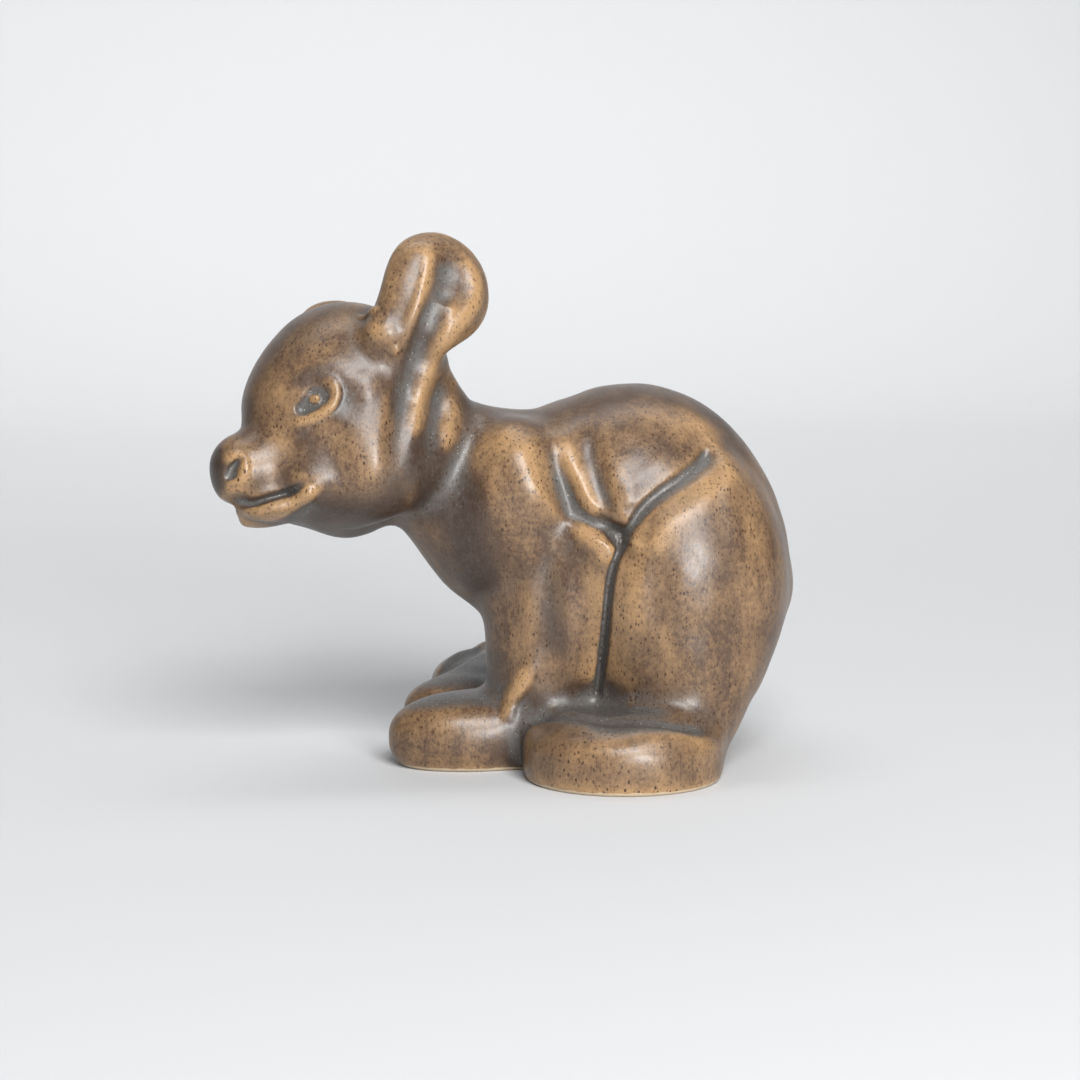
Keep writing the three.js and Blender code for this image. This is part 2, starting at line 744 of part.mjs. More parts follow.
// The squared distance to a triangle's plane, as the ten values of a symmetric matrix.
function planeError(a, b, c) {
  const normal = cross(minus(b, a), minus(c, a));
  const area = Math.hypot(...normal) || 1e-12;
  const [x, y, z] = normal.map((value) => value / area);
  const w = -dot([x, y, z], a);
  return [x * x, x * y, x * z, x * w, y * y, y * z, y * w, z * z, z * w, w * w].map((value) => value * area);
}

function errorAt(q, [x, y, z]) {
  return q[0] * x * x + 2 * q[1] * x * y + 2 * q[2] * x * z + 2 * q[3] * x + q[4] * y * y
    + 2 * q[5] * y * z + 2 * q[6] * y + q[7] * z * z + 2 * q[8] * z + q[9];
}

// The point with the least error, or the better of the middle and the ends.
function bestPoint(q, a, b) {
  const minors = [q[4] * q[7] - q[5] * q[5], q[2] * q[5] - q[1] * q[7], q[1] * q[5] - q[2] * q[4]];
  const volume = q[0] * minors[0] + q[1] * minors[1] + q[2] * minors[2];
  const middle = a.map((value, i) => (value + b[i]) / 2);
  const scale = q[0] + q[4] + q[7];
  if (Math.abs(volume) > 1e-4 * scale ** 3) {
    const inverse = [
      minors,
      [minors[1], q[0] * q[7] - q[2] * q[2], q[1] * q[2] - q[0] * q[5]],
      [minors[2], q[1] * q[2] - q[0] * q[5], q[0] * q[4] - q[1] * q[1]],
    ];
    const point = inverse.map((row) => -dot(row, [q[3], q[6], q[8]]) / volume);
    const length = Math.hypot(...minus(a, b));
    if (Math.hypot(...minus(point, middle)) < 1.5 * length) return point;
  }
  return [middle, a, b].reduce((best, point) => (errorAt(q, point) < errorAt(q, best) ? point : best));
}

// A heap that hands out the entry with the least cost first.
class Heap {
  constructor() {
    this.items = [];
  }

  push(item) {
    const list = this.items;
    let i = list.length;
    list.push(item);
    while (i > 0) {
      const parent = (i - 1) >> 1;
      if (list[parent].cost <= item.cost) break;
      list[i] = list[parent];
      i = parent;
    }
    list[i] = item;
  }

  pop() {
    const list = this.items;
    const first = list[0];
    const item = list.pop();
    if (!list.length) return first;
    let i = 0;
    for (;;) {
      let child = 2 * i + 1;
      if (child >= list.length) break;
      if (child + 1 < list.length && list[child + 1].cost < list[child].cost) child++;
      if (list[child].cost >= item.cost) break;
      list[i] = list[child];
      i = child;
    }
    list[i] = item;
    return first;
  }
}

// Merges the ends of short or flat edges until the wanted number of triangles is left.
function simplify({ points, triangles }, wanted) {
  const at = points.slice();
  const faces = triangles.map((face) => face.slice());
  const around = points.map(() => new Set());
  const error = points.map(() => new Float64Array(10));
  const version = new Int32Array(points.length);
  faces.forEach((face, f) => {
    const plane = planeError(...face.map((v) => at[v]));
    for (const v of face) {
      around[v].add(f);
      plane.forEach((value, i) => { error[v][i] += value; });
    }
  });
  const neighbours = (v) => new Set([...around[v]].flatMap((f) => faces[f]).filter((n) => n !== v));
  const heap = new Heap();
  const offer = (a, b) => {
    const q = error[a].map((value, i) => value + error[b][i]);
    const point = bestPoint(q, at[a], at[b]);
    const length = Math.hypot(...minus(at[a], at[b]));
    const cost = Math.max(errorAt(q, point), 0) + 1e-4 * unit * length ** 3;
    heap.push({ cost, a, b, q, point, stamp: version[a] + version[b] });
  };
  const normalOf = (p, q, r) => cross(minus(q, p), minus(r, p));
  const folds = (v, other, point) => [...around[v]].some((f) => {
    if (faces[f].includes(other)) return false;
    const before = normalOf(...faces[f].map((n) => at[n]));
    const after = normalOf(...faces[f].map((n) => (n === v ? point : at[n])));
    return dot(before, after) < 0.3 * Math.hypot(...before) * Math.hypot(...after);
  });
  points.forEach((_, a) => neighbours(a).forEach((b) => { if (a < b) offer(a, b); }));
  let left = faces.length;
  while (left > wanted && heap.items.length) {
    const { a, b, q, point, stamp } = heap.pop();
    if (!around[a] || !around[b] || stamp !== version[a] + version[b]) continue;
    const near = neighbours(a);
    const shared = [...neighbours(b)].filter((n) => near.has(n));
    if (shared.length !== 2 || folds(a, b, point) || folds(b, a, point)) continue;
    for (const f of [...around[b]]) {
      if (faces[f].includes(a)) {
        for (const v of faces[f]) around[v].delete(f);
        faces[f] = null;
        left--;
      } else {
        faces[f] = faces[f].map((v) => (v === b ? a : v));
        around[a].add(f);
      }
    }
    around[b] = null;
    at[a] = point;
    error[a] = q;
    version[a] += version[b] + 1;
    neighbours(a).forEach((n) => offer(a, n));
  }
  const kept = new Map();
  const number = (v) => {
    if (!kept.has(v)) kept.set(v, kept.size);
    return kept.get(v);
  };
  const result = faces.filter((face) => face).map((face) => face.map(number));
  return { points: [...kept.keys()].map((v) => at[v]), triangles: result };
}

// A closed set of triangles as a solid.
function toSolid(wasm, vertices, indices) {
  const vertProperties = Float32Array.from(vertices);
  const triVerts = Uint32Array.from(indices);
  return new wasm.Manifold(new wasm.Mesh({ numProp: 3, vertProperties, triVerts }));
}

// The block that keeps what is above the table.
function aboveTable(wasm) {
  const span = 4 * HEIGHT;
  const box = new THREE.BoxGeometry(span, span, span).translate(0, 0, span / 2);
  box.deleteAttribute("normal");
  box.deleteAttribute("uv");
  const block = mergeVertices(box);
  return toSolid(wasm, block.getAttribute("position").array, block.getIndex().array);
}

function toGeometry(solid) {
  const mesh = solid.getMesh();
  const geometry = new THREE.BufferGeometry();
  geometry.setAttribute("position", new THREE.BufferAttribute(mesh.vertProperties, 3));
  geometry.setIndex(new THREE.BufferAttribute(mesh.triVerts, 1));
  geometry.computeBoundingBox();
  const { min, max } = geometry.boundingBox;
  geometry.translate(-(min.x + max.x) / 2, -(min.y + max.y) / 2, -min.z);
  geometry.computeVertexNormals();
  return geometry;
}

const wasm = await Module();
wasm.setup();

const rough = outerShell(polygonise(clay, REACH, CELL));
rough.points = rough.points.map((point) => settle(point, clay));
const fine = simplify(rough, FACES);
const figure = toSolid(wasm, fine.points.flat(), fine.triangles.flat()).intersect(aboveTable(wasm));

const glaze = new THREE.MeshStandardMaterial({ color: 0x7a5c3e, roughness: 0.42, metalness: 0 });
const bear = new THREE.Mesh(toGeometry(figure), glaze);
bear.name = "bear";

const group = new THREE.Group();
group.add(bear);
export default group;
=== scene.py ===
"""Bear figurine in glazed stoneware: the carved figure, its glaze, and a plain studio."""

import math

import bpy
import numpy as np
from bpy.props import FloatProperty, FloatVectorProperty, IntProperty, PointerProperty
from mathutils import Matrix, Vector


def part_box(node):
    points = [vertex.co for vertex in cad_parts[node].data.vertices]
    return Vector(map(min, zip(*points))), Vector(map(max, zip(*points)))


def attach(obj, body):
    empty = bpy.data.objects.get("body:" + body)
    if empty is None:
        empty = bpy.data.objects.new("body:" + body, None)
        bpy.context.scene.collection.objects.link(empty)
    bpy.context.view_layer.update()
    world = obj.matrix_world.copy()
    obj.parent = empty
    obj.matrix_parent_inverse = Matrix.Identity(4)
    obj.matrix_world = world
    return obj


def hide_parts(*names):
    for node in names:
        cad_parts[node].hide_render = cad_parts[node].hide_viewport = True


bl_info = {
    "name": "Bear figurine",
    "version": (1, 0, 0),
    "blender": (4, 5, 0),
    "location": "3D View > Sidebar > Bear",
    "description": "Makes a glazed stoneware bear and a plain studio to show it in",
    "category": "Object",
}

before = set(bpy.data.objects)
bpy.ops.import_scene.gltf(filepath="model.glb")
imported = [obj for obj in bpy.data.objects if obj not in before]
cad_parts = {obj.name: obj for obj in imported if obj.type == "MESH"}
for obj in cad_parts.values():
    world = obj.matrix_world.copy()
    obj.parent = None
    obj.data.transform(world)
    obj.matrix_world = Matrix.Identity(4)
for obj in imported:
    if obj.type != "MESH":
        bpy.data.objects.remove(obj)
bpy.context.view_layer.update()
FIGURE_LOW, FIGURE_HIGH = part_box("bear")

MM = 0.001


def linear(code):
    """An sRGB hex colour as linear red, green, blue."""
    out = []
    for start in (0, 2, 4):
        value = int(code[start:start + 2], 16) / 255
        out.append(value / 12.92 if value <= 0.04045 else ((value + 0.055) / 1.055) ** 2.4)
    return out


# The head is modelled looking straight on, then tilted so that the near ear is raised
# and turned towards the near side. The far ear sits further forward. Everything is in
# millimetres for a figure 140 mm high.
HEAD = {"centre": (-43.5, -6, 96), "turn": 17, "tilt": 20, "far_ear": (7, 0)}

# Every mass of clay: its centre, its half sizes and how softly it runs into the others.
TORSO = {
    "hump": {"centre": (34.5, 0, 62), "size": (37.5, 33, 37.6)},
    "rump": {"centre": (44.5, 0, 47), "size": (33.5, 37, 37), "soft": 9},
    "seat": {"centre": (40, 0, 20), "size": (26, 30, 30), "soft": 8},
    "web": {"centre": (14, 2, 8), "size": (20, 22, 20), "soft": 6},
    "tail": {"centre": (71.5, 0, 45), "size": (6.5, 9, 9), "soft": 5},
}
FRONT = {
    "chest": {"centre": (4, 0, 65), "size": (25, 27, 27)},
    "withers": {"centre": (-1, 0, 75.4), "size": (13.5, 18, 13), "soft": 4},
    "loin": {"centre": (17, 0, 83), "size": (11, 22, 11.5), "soft": 6},
    "belly": {"centre": (18, 0, 36), "size": (22, 27, 30), "soft": 8},
    "neck": {"from": (-25, -4, 84.5), "to": (0, 0, 66), "radii": (17.7, 22), "soft": 8},
    "nape": {"from": (-22, -13, 105), "to": (-19, -8, 95), "radii": (6.5, 8), "soft": 4},
}

# The legs of one side: the near feet stand wider and the far ones are set differently.
NEAR = {"side": -1, "hind": 0, "fore": 0, "apart": 10.5, "raised": 0}
FAR = {"side": 1, "hind": -17.5, "fore": 6.5, "apart": 16, "raised": 4}
THIGH = {"centre": (45, 19, 47), "size": (27.5, 21.5, 38)}
SHANK = {"from": (48, 23, 27), "to": (41, 25, 8), "radii": (15, 14), "soft": 8}
HEEL = {"from": (46, 24, 15), "to": (39, 34, 7), "radii": (12, 11), "soft": 6}
FOOT = {"centre": (27, 34, 6), "size": (26, 23, 11.8), "turn": 8, "square": 3, "soft": 4}
ARM = {"from": (9, 0, 56), "to": (8.5, 0, 8), "radii": (14.5, 14.5)}
ELBOW = {"centre": (15, 15, 46), "size": (11, 12, 15), "soft": 6}
SHOULDER = {"centre": (2, 14, 73), "size": (17, 15, 19), "soft": 6}
PAW = {"centre": (-6, 0, 7.5), "size": (26, 14.5, 11.7), "turn": -5, "square": 2.5, "soft": 4}

# The head, in its own frame: forward, sideways, up.
SKULL = {
    "cranium": {"centre": (-2.3, 0, 1.2), "size": (24.1, 24.2, 24.9)},
    "forehead": {"centre": (9.6, 0, -2), "size": (16, 16.5, 14.5), "soft": 8},
    "cheek": {"centre": (-4, 11, -17.5), "size": (16, 12.5, 15.8), "soft": 8},
    "jaw": {"centre": (3.5, 0, -25), "size": (13.5, 13, 9), "soft": 8},
    "corner": {"centre": (14, 10.4, -23.6), "size": (6, 4.6, 4.6), "soft": 6},
    "nose": {"centre": (30.3, 0, -16), "size": (5.8, 7.5, 6.4), "soft": 4},
    "lip": {"centre": (29.3, 0, -20.5), "size": (6, 6.5, 4.5), "soft": 3},
    "chin": {"centre": (20.5, 0, -27.2), "size": (10.5, 9, 3.9), "soft": 2},
    "muzzle": {"from": (12, 0, -14), "to": (25, 0, -17), "radii": (14, 9.6), "soft": 6},
}
EAR = {
    "leaf": {"centre": (-20, 28, 21.5), "size": (13.8, 6, 15)},
    "roll": {"from": (-5.3, 25, 11), "to": (-15.5, 28.5, 28), "radii": (5.7, 5.5), "soft": 4},
    "root": {"from": (-12, 19, 5), "to": (-17, 26, 16), "radii": (8, 7), "soft": 6},
}

# Carved lines, seen from the side: a path, its half width at both ends, its depth, which is
# less than nothing for a ridge, how far from the middle it starts, how steep its walls are,
# and over which share of its length it fades out at its start and at its end.
FLANK = {
    "leg line": (
        [(22.4, 19.5), (23, 32.4), (23.3, 41.7), (23.8, 50), (25, 56), (27, 60.5)],
        (1.4, 1.4), 1.7, 6, 1, (0, 0),
    ),
    "leg line shoulders": (
        [(21.6, 20), (23, 35), (24, 50), (27.4, 62)], (8, 7), 1.5, 6, 1, (0, 0.2),
    ),
    "loin line": (
        [(26.6, 60), (29.7, 65.9), (33.2, 70.4), (37.4, 73.7), (42.8, 76.9), (48.1, 80.2), (52, 83.4)],
        (1.7, 3.2), 1.5, 6, 1, (0, 0.16),
    ),
    "loin line shoulders": (
        [(28, 62), (33.2, 70.4), (42.8, 77.2), (53, 84.5)], (6, 9), 1.3, 6, 1, (0.1, 0.3),
    ),
    "rib line": (
        [(27, 62), (24.4, 66.4), (22, 71.5), (20.7, 77), (19.6, 85), (18.6, 92)],
        (3, 5.6), 1.5, 6, 1, (0, 0.6),
    ),
    "rib ridge": ([(23.5, 66), (18.6, 73), (15.9, 80), (13.2, 90)], (4, 5.4), -0.7, 6, 1, (0.3, 0.4)),
    "loin swell": ([(29.5, 70), (27, 77), (26, 86)], (4, 6), -0.5, 6, 1, (0.2, 0.5)),
    "shoulder valley": (
        [(26, 62.5), (20, 66.5), (15, 70), (10.9, 76.5), (8.3, 83.2), (6, 93)],
        (3.2, 7.5), 1.9, 6, 1, (0, 0.4),
    ),
    "shoulder ridge": ([(7, 70), (2.6, 80), (0, 88)], (7, 7), -0.7, 6, 1, (0.3, 0.3)),
    "elbow line": ([(26, 62), (20, 65.6), (14, 66.6), (8, 65)], (2.8, 6), 0.8, 6, 1, (0, 0.7)),
    "elbow bump": ([(15, 62), (20, 60.6), (23.4, 55.6)], (6, 5), -0.8, 6, 1, (0.4, 0.2)),
    "flank pit": ([(27.2, 59.8), (26.6, 62.8)], (4.2, 4.2), 1.3, 6, 1, (0, 0)),
    "hip edge": (
        [(48.5, 90.5), (53, 86), (55.6, 80.1), (56.2, 75.4), (57, 68.9), (58.8, 58)],
        (4.5, 6.5), -0.9, 6, 1, (0.4, 0.5),
    ),
    "thigh front": ([(29.6, 60), (29.4, 44), (28.4, 28)], (5, 5), -0.4, 6, 1, (0.4, 0.4)),
    "thigh hollow": ([(35.4, 60), (34.6, 46), (32, 30)], (6.5, 6.5), 0.5, 6, 1, (0.5, 0.5)),
    "thigh flute": ([(31, 45), (35.6, 32)], (3.4, 3.4), -0.35, 6, 1, (0.5, 0.5)),
    "rump flute": ([(57, 56), (55, 38), (51, 22)], (8, 7), 0.8, 6, 1, (0.5, 0.4)),
    "arm front": ([(3.4, 60), (3.6, 42), (3.2, 24)], (4.5, 4.5), -0.4, 6, 1, (0.5, 0.5)),
    "arm hollow": ([(7.4, 62), (8.6, 46), (8.4, 26)], (5.5, 5.5), 0.7, 6, 1, (0.5, 0.5)),
    "arm ridge": ([(13, 58), (13.8, 42), (13, 26)], (5.5, 5.5), -0.4, 6, 1, (0.5, 0.5)),
    "wrist edge": ([(5.4, 30), (2, 23.5), (-0.8, 18.6), (-2, 13)], (3.6, 3), -1.1, 6, 1, (0.5, 0.3)),
    "wrist hollow": ([(-3.5, 31), (-5, 20)], (5, 5), 0.7, 6, 1, (0.4, 0.4)),
}

# Folds of the neck on the side that the head turns to.
NECK_FOLDS = {
    "jowl fold": (
        [(-24.6, 111), (-26.6, 104), (-28.6, 97), (-30, 88.3), (-31, 80.9), (-31.4, 73)],
        (4.6, 6.5), 1.5, 2, 1, (0.4, 0.5),
    ),
    "neck ridge": (
        [(-21.4, 108), (-24, 98.8), (-26.6, 89.3), (-28.6, 78)], (4.4, 5), -0.8, 2, 1, (0.3, 0.5),
    ),
    "nape fold": (
        [(-15.4, 107), (-18.2, 99), (-20.4, 92), (-22.6, 85), (-25, 76)],
        (4, 6.4), 1.2, 2, 1, (0.3, 0.6),
    ),
    "second ridge": (
        [(-13.6, 97), (-15.6, 91), (-18.4, 82), (-20, 74)], (4.4, 5), -0.6, 2, 1, (0.4, 0.5),
    ),
    "shoulder fold": ([(-7, 93), (-11, 84), (-14.5, 74), (-16, 66)], (7, 9), 1.3, 2, 1, (0.4, 0.6)),
}
FACE = {
    "mouth": (
        [(36, -24.6), (31.6, -25.8), (29, -26.8), (25.4, -26.4), (22, -25.8), (18.4, -25.2)],
        (1.7, 1.1), 1.9, 0, 1, (0, 0.15),
    ),
    "lower lip": (
        [(31, -29.8), (27, -30.2), (22, -29.6), (18, -28.2), (15.4, -26.6)],
        (2.6, 2.8), -1.4, 0, 1, (0.2, 0.2),
    ),
    "muzzle side": ([(15.4, -12), (14, -17), (13.6, -21)], (6.5, 6.5), -0.45, 6, 1, (0.4, 0.5)),
    "eye socket": ([(16.5, -5), (12.4, -1.6)], (7.5, 7.5), 0.6, 8, 1, (0, 0)),
    "eye pit": ([(15.8, -5.4), (14.4, -4.5), (13.2, -3.5)], (2.5, 3.6), 1.4, 10, 1.2, (0, 0)),
    "pupil": ([(13.3, -3.7), (13.4, -3.8)], (1.6, 1.6), -1.9, 10, 1, (0, 0)),
    "eyelid": (
        [(19, -8.8), (16, -8.8), (12.8, -8), (10, -6.2), (8.8, -3.6), (9.4, -0.6), (11.4, 1.2)],
        (1.6, 2.1), -1.1, 10, 1, (0.4, 0.4),
    ),
    "temple hollow": ([(6.4, 0), (6, -6), (7.4, -11)], (5, 5), 0.5, 10, 1, (0.5, 0.5)),
    "temple bulge": ([(2.4, 2), (0.4, -6)], (7.5, 7.5), -0.5, 10, 1, (0.5, 0.5)),
    "first wart": ([(-1.6, 17), (-1.5, 16.8)], (1.6, 1.6), -0.7, 10, 1, (0, 0)),
    "second wart": ([(-6, 5.2), (-6.1, 5)], (1.5, 1.5), -0.7, 14, 1, (0, 0)),
    "nostril rim": (
        [(35.6, -16.6), (34.4, -15.4), (32.4, -15.2), (31.2, -17), (31.2, -19.6), (32.6, -21.4), (34.4, -21)],
        (1.8, 1.8), -0.6, 2, 1, (0.2, 0.2),
    ),
    "nostril": ([(33.9, -19.6), (33.3, -18), (32.2, -16.6)], (2.0, 1.2), 2.1, 2, 1, (0, 0)),
}
EAR_FOLDS = {
    "ear channel": (
        [(-20.6, 28), (-19, 23), (-17, 18), (-15.4, 13.4), (-14.2, 9), (-12.6, 3), (-11.4, -4)],
        (5, 5.4), 1.9, 20, 1, (0.4, 0.5),
    ),
    "ear edge": (
        [(-16.4, 31), (-14.8, 23.6), (-12.6, 17.8), (-9.6, 12), (-7.6, 7.6)],
        (2.6, 2.8), -0.7, 20, 1, (0.3, 0.4),
    ),
    "ear bowl": ([(-22.6, 27), (-22, 20.5), (-19, 15)], (6.4, 5), 1.2, 20, 1, (0.4, 0.3)),
    "ear rim": (
        [(-25.6, 31), (-29.2, 23), (-28, 16.4), (-23.8, 11.2), (-19, 6), (-18, 0)],
        (3.6, 3.6), -0.8, 20, 1, (0.4, 0.5),
    ),
}

# Carved lines on top of a hind foot, seen from above, as distances from the foot's own place.
FOOT_TOP = {
    "trough": (
        [(4, 24), (11, 34), (20, 41), (30, 45), (40, 46), (51, 40)], (5, 5.5), 1.5, 8, 1, (0.1, 0.2),
    ),
    "rim": (
        [(8, 33), (12, 42.5), (19.5, 49), (28.6, 52), (38.4, 51), (48, 44)],
        (4, 4), -0.5, 8, 1, (0.2, 0.3),
    ),
}

# Where the glaze breaks to ochre, or lies thick where the amount is less than nothing; the
# entries named painted shade darken places where shade falls instead. Each is laid out like a
# carved line, with the amount in place of the depth.
BODY_TINTS = {
    "shoulder": ([(-8.7, 78), (-5.7, 85), (1, 87), (6.6, 81), (8.5, 76)], (5, 4), 0.45, 4, 1, (0.2, 0.2)),
    "rib ridge": ([(11.5, 88), (15.2, 81), (18.2, 73.6), (21.2, 69)], (4, 3), 0.7, 4, 1, (0.2, 0.1)),
    "hump": ([(36, 91.5), (41, 90)], (8, 7), 0.3, 0, 1, (0, 0)),
    # Painted shade: the top of the hump is darkened where less light falls on it.
    "hump painted shade": ([(20, 99), (36, 102), (52, 97), (66, 82)], (9, 9), -0.5, 0, 1, (0.1, 0.1)),
    "hip": ([(47, 90.5), (53, 87)], (5, 5), 0.5, 4, 1, (0, 0)),
    "thigh top": ([(33, 59), (42, 69), (50, 74.6), (56.6, 80.5)], (4, 5), 0.6, 4, 1, (0.1, 0.1)),
    "before leg line": ([(20.4, 54), (20, 40), (19.6, 23)], (3, 3.2), 0.6, 4, 1, (0.1, 0.1)),
    "behind leg line": ([(29.4, 56), (27.6, 46), (26, 23)], (4, 3.2), 0.5, 4, 1, (0.1, 0.1)),
    "elbow": ([(17.6, 64), (21.6, 61), (23.6, 57)], (3.6, 3.2), 0.7, 4, 1, (0, 0)),
    "hip edge": ([(59, 80), (61.5, 64), (58.5, 38)], (4, 6), 0.3, 4, 1, (0.2, 0.4)),
    "thigh streak": ([(36, 39), (39.5, 30.5)], (2.4, 3), 0.4, 4, 1, (0, 0)),
    "arm": ([(3.4, 48), (1.8, 30)], (3.6, 3.6), 0.3, 4, 1, (0.2, 0.2)),
    "wrist": ([(3.2, 27), (-1, 19.5)], (2.8, 3), 0.5, 4, 1, (0.1, 0.1)),
    "neck ridge": ([(-20.5, 107), (-23.4, 98.8), (-26.3, 89.3)], (3.6, 3.6), 0.6, 2, 1, (0.2, 0.3)),
    "second neck ridge": ([(-14.6, 99), (-16.6, 91), (-18.4, 83)], (3.2, 3.6), 0.5, 2, 1, (0.2, 0.3)),
    "arm shade": ([(11, 52), (11.4, 30)], (5, 4), -0.3, 4, 1, (0.2, 0.2)),
    # Painted shade: darkens the chest and the neck under the head, where shade falls.
    "chest painted shade": ([(-24, 82), (-16, 72), (-11, 58), (-6, 44)], (12, 8), -0.8, 0, 1, (0, 0.2)),
    "withers shade": ([(-13, 97), (2, 95), (10, 96)], (5.5, 5), -0.5, 0, 1, (0, 0)),
}
HEAD_TINTS = {
    "muzzle": ([(22, -13), (19, -15.5)], (4, 4), 0.45, 2, 1, (0, 0)),
    "lower lip": ([(31, -29.8), (22, -29.6), (15.6, -26.8)], (2, 2.4), 0.9, 0, 1, (0, 0)),
    "eyelid": (
        [(19, -8.8), (16, -8.8), (12.8, -8), (10, -6.2), (8.8, -3.6), (9.4, -0.6)],
        (1.6, 2), 0.7, 8, 1, (0.1, 0.2),
    ),
    "pupil": ([(13.3, -3.7), (13.4, -3.8)], (1.5, 1.5), 2.2, 8, 1, (0, 0)),
    "snout": ([(27, -17), (25, -20)], (4, 4), 0.35, 2, 1, (0, 0)),
    "nose tip": ([(38, -12), (38.4, -23)], (4.6, 4.6), -0.9, -5, 1, (0, 0)),
    "muzzle valley": ([(16.6, -13), (14.6, -20)], (4, 4), -0.45, 6, 1, (0, 0)),
    # Painted shade: darkens the underside of the jaw, where shade falls.
    "jaw painted shade": ([(15, -33), (4, -35), (-8, -31)], (9, 11), -0.8, -5, 1, (0, 0.1)),
    "mouth corner": ([(21, -25.2), (18.6, -24.8)], (2, 2), -0.5, 0, 1, (0, 0)),
    "nostril rim": (
        [(34.6, -14.8), (31.2, -16.4), (31, -20.4), (33.4, -22.2)], (1.8, 1.8), 0.5, 0, 1, (0, 0),
    ),
    "cheek": ([(12, -12), (8.6, -18)], (5, 5), 0.3, 6, 1, (0, 0)),
    "ear edge": ([(-15.4, 31), (-15.6, 24.3), (-12.8, 18.6)], (2.6, 2.6), 0.5, 18, 1, (0.1, 0.2)),
    "ear rim": (
        [(-26, 30), (-28.4, 20), (-25, 13.5), (-20.2, 9.4), (-16, 3)], (3, 3.2), 0.6, 18, 1, (0.2, 0.2),
    ),
    "ear bowl": (
        [(-20, 29), (-20.4, 22), (-17, 15), (-12.4, 8), (-10, 1)], (5, 3.6), -0.3, 18, 1, (0.1, 0.2),
    ),
    "temple": ([(7, -4), (7.4, -8)], (3, 3), -0.4, 8, 1, (0, 0)),
    "brow": ([(17, 1.4), (12, 2.6)], (3, 3), -0.4, 8, 1, (0, 0)),
    "jowl groove": ([(-8, 3), (-7.4, -5), (-7, -12)], (4.4, 4.4), -0.35, 12, 1, (0.1, 0.3)),
    # Painted shade: the top of the head is darkened where less light falls on it.
    "crown painted shade": ([(12, 20), (2, 22)], (7, 6), -0.35, 0, 1, (0, 0)),
}

# How softly the larger groups run into one another.
BLEND = {"back": 3, "leg": 4, "head": 5, "ear": 5}

# Over how much depth a carved line fades in, from the middle outwards.
FADE = {"flank": 10, "neck": 12, "face": 5, "foot": 4}

# Carving reaches this far from the surface, each leg this far past the middle, and the
# head no further back than this.
CARVED = 6
PAST_MIDDLE = 12
HEAD_ENDS = 5

# How far round the bottom edge is rubbed down before firing.
FETTLED = 0.9

# The faint swells of hand-smoothed clay: their height, how far apart they are along each axis,
# and how much they sway from side to side.
UNEVEN = {"height": 0.09, "apart": (15, 17, 19), "sway": 0.7}

# How far a carved line runs on past its end, as a share of the length it fades out over.
PAST_END = 0.3

# How far apart the field is read to find its slope.
SLOPE_STEP = 0.05


def lump(mass, x, y, z, side=1):
    """Distance to an ellipsoid of clay."""
    a, b, c = mass["size"]
    u = (x - mass["centre"][0]) / a
    v = (y - side * mass["centre"][1]) / b
    w = (z - mass["centre"][2]) / c
    k = np.sqrt(u * u + v * v + w * w + 1e-12)
    slope = np.sqrt((u / a) ** 2 + (v / b) ** 2 + (w / c) ** 2 + 1e-14)
    return k * (k - 1) / slope


def limb(mass, x, y, z, side=1):
    """Distance to a tapered bar with round ends."""
    start = np.array(mass["from"]) * (1, side, 1)
    bx, by, bz = np.array(mass["to"]) * (1, side, 1) - start
    r1, r2 = mass["radii"]
    length2 = bx * bx + by * by + bz * bz
    taper = r1 - r2
    slant2 = length2 - taper * taper
    px = x - start[0]
    py = y - start[1]
    pz = z - start[2]
    along = px * bx + py * by + pz * bz
    past = along - length2
    across2 = (
        (px * length2 - bx * along) ** 2
        + (py * length2 - by * along) ** 2
        + (pz * length2 - bz * along) ** 2
    )
    limit = np.sign(taper) * taper * taper * across2
    far_end = np.sign(past) * slant2 * past * past * length2 > limit
    near_end = np.sign(along) * slant2 * along * along * length2 < limit
    side_wall = (np.sqrt(across2 * slant2 / length2) + along * taper) / length2 - r1
    near_ball = np.sqrt(across2 + along * along * length2) / length2 - r1
    far_ball = np.sqrt(across2 + past * past * length2) / length2 - r2
    return np.where(far_end, far_ball, np.where(near_end, near_ball, side_wall))


def pad(mass, x, y, z, side=1):
    """Distance to a foot: oval in plan, squarer in height, turned about the upright."""
    cosine = math.cos(math.radians(mass["turn"] * side))
    sine = math.sin(math.radians(mass["turn"] * side))
    square = mass["square"]
    a, b, c = mass["size"]
    dx = x - mass["centre"][0]
    dy = y - side * mass["centre"][1]
    u = (cosine * dx + sine * dy) / a
    v = (cosine * dy - sine * dx) / b
    w = np.abs(z - mass["centre"][2]) / c
    r = np.maximum(np.sqrt(u * u + v * v), 1e-6)
    f = np.maximum((r ** square + w ** square) ** (1 / square), 1e-3)
    slope = np.sqrt((u / a) ** 2 + (v / b) ** 2) / r
    steep = np.hypot((r / f) ** (square - 1) * slope, (w / f) ** (square - 1) / c)
    return (f - 1) / steep


def mass_distance(mass, x, y, z, side=1):
    """Distance to one mass, whichever kind it is."""
    if "from" in mass:
        return limb(mass, x, y, z, side)
    if "square" in mass:
        return pad(mass, x, y, z, side)
    return lump(mass, x, y, z, side)


def soften(a, b, k):
    """Joins two distances with a rounded inside corner."""
    h = np.maximum(k - np.abs(a - b), 0) / k
    return np.minimum(a, b) - h * h * k / 4


def together(masses, x, y, z, side=1):
    """Distance to several masses run into one another in turn."""
    first, *rest = masses
    d = mass_distance(first, x, y, z, side)
    for mass in rest:
        d = soften(d, mass_distance(mass, x, y, z, side), mass["soft"])
    return d


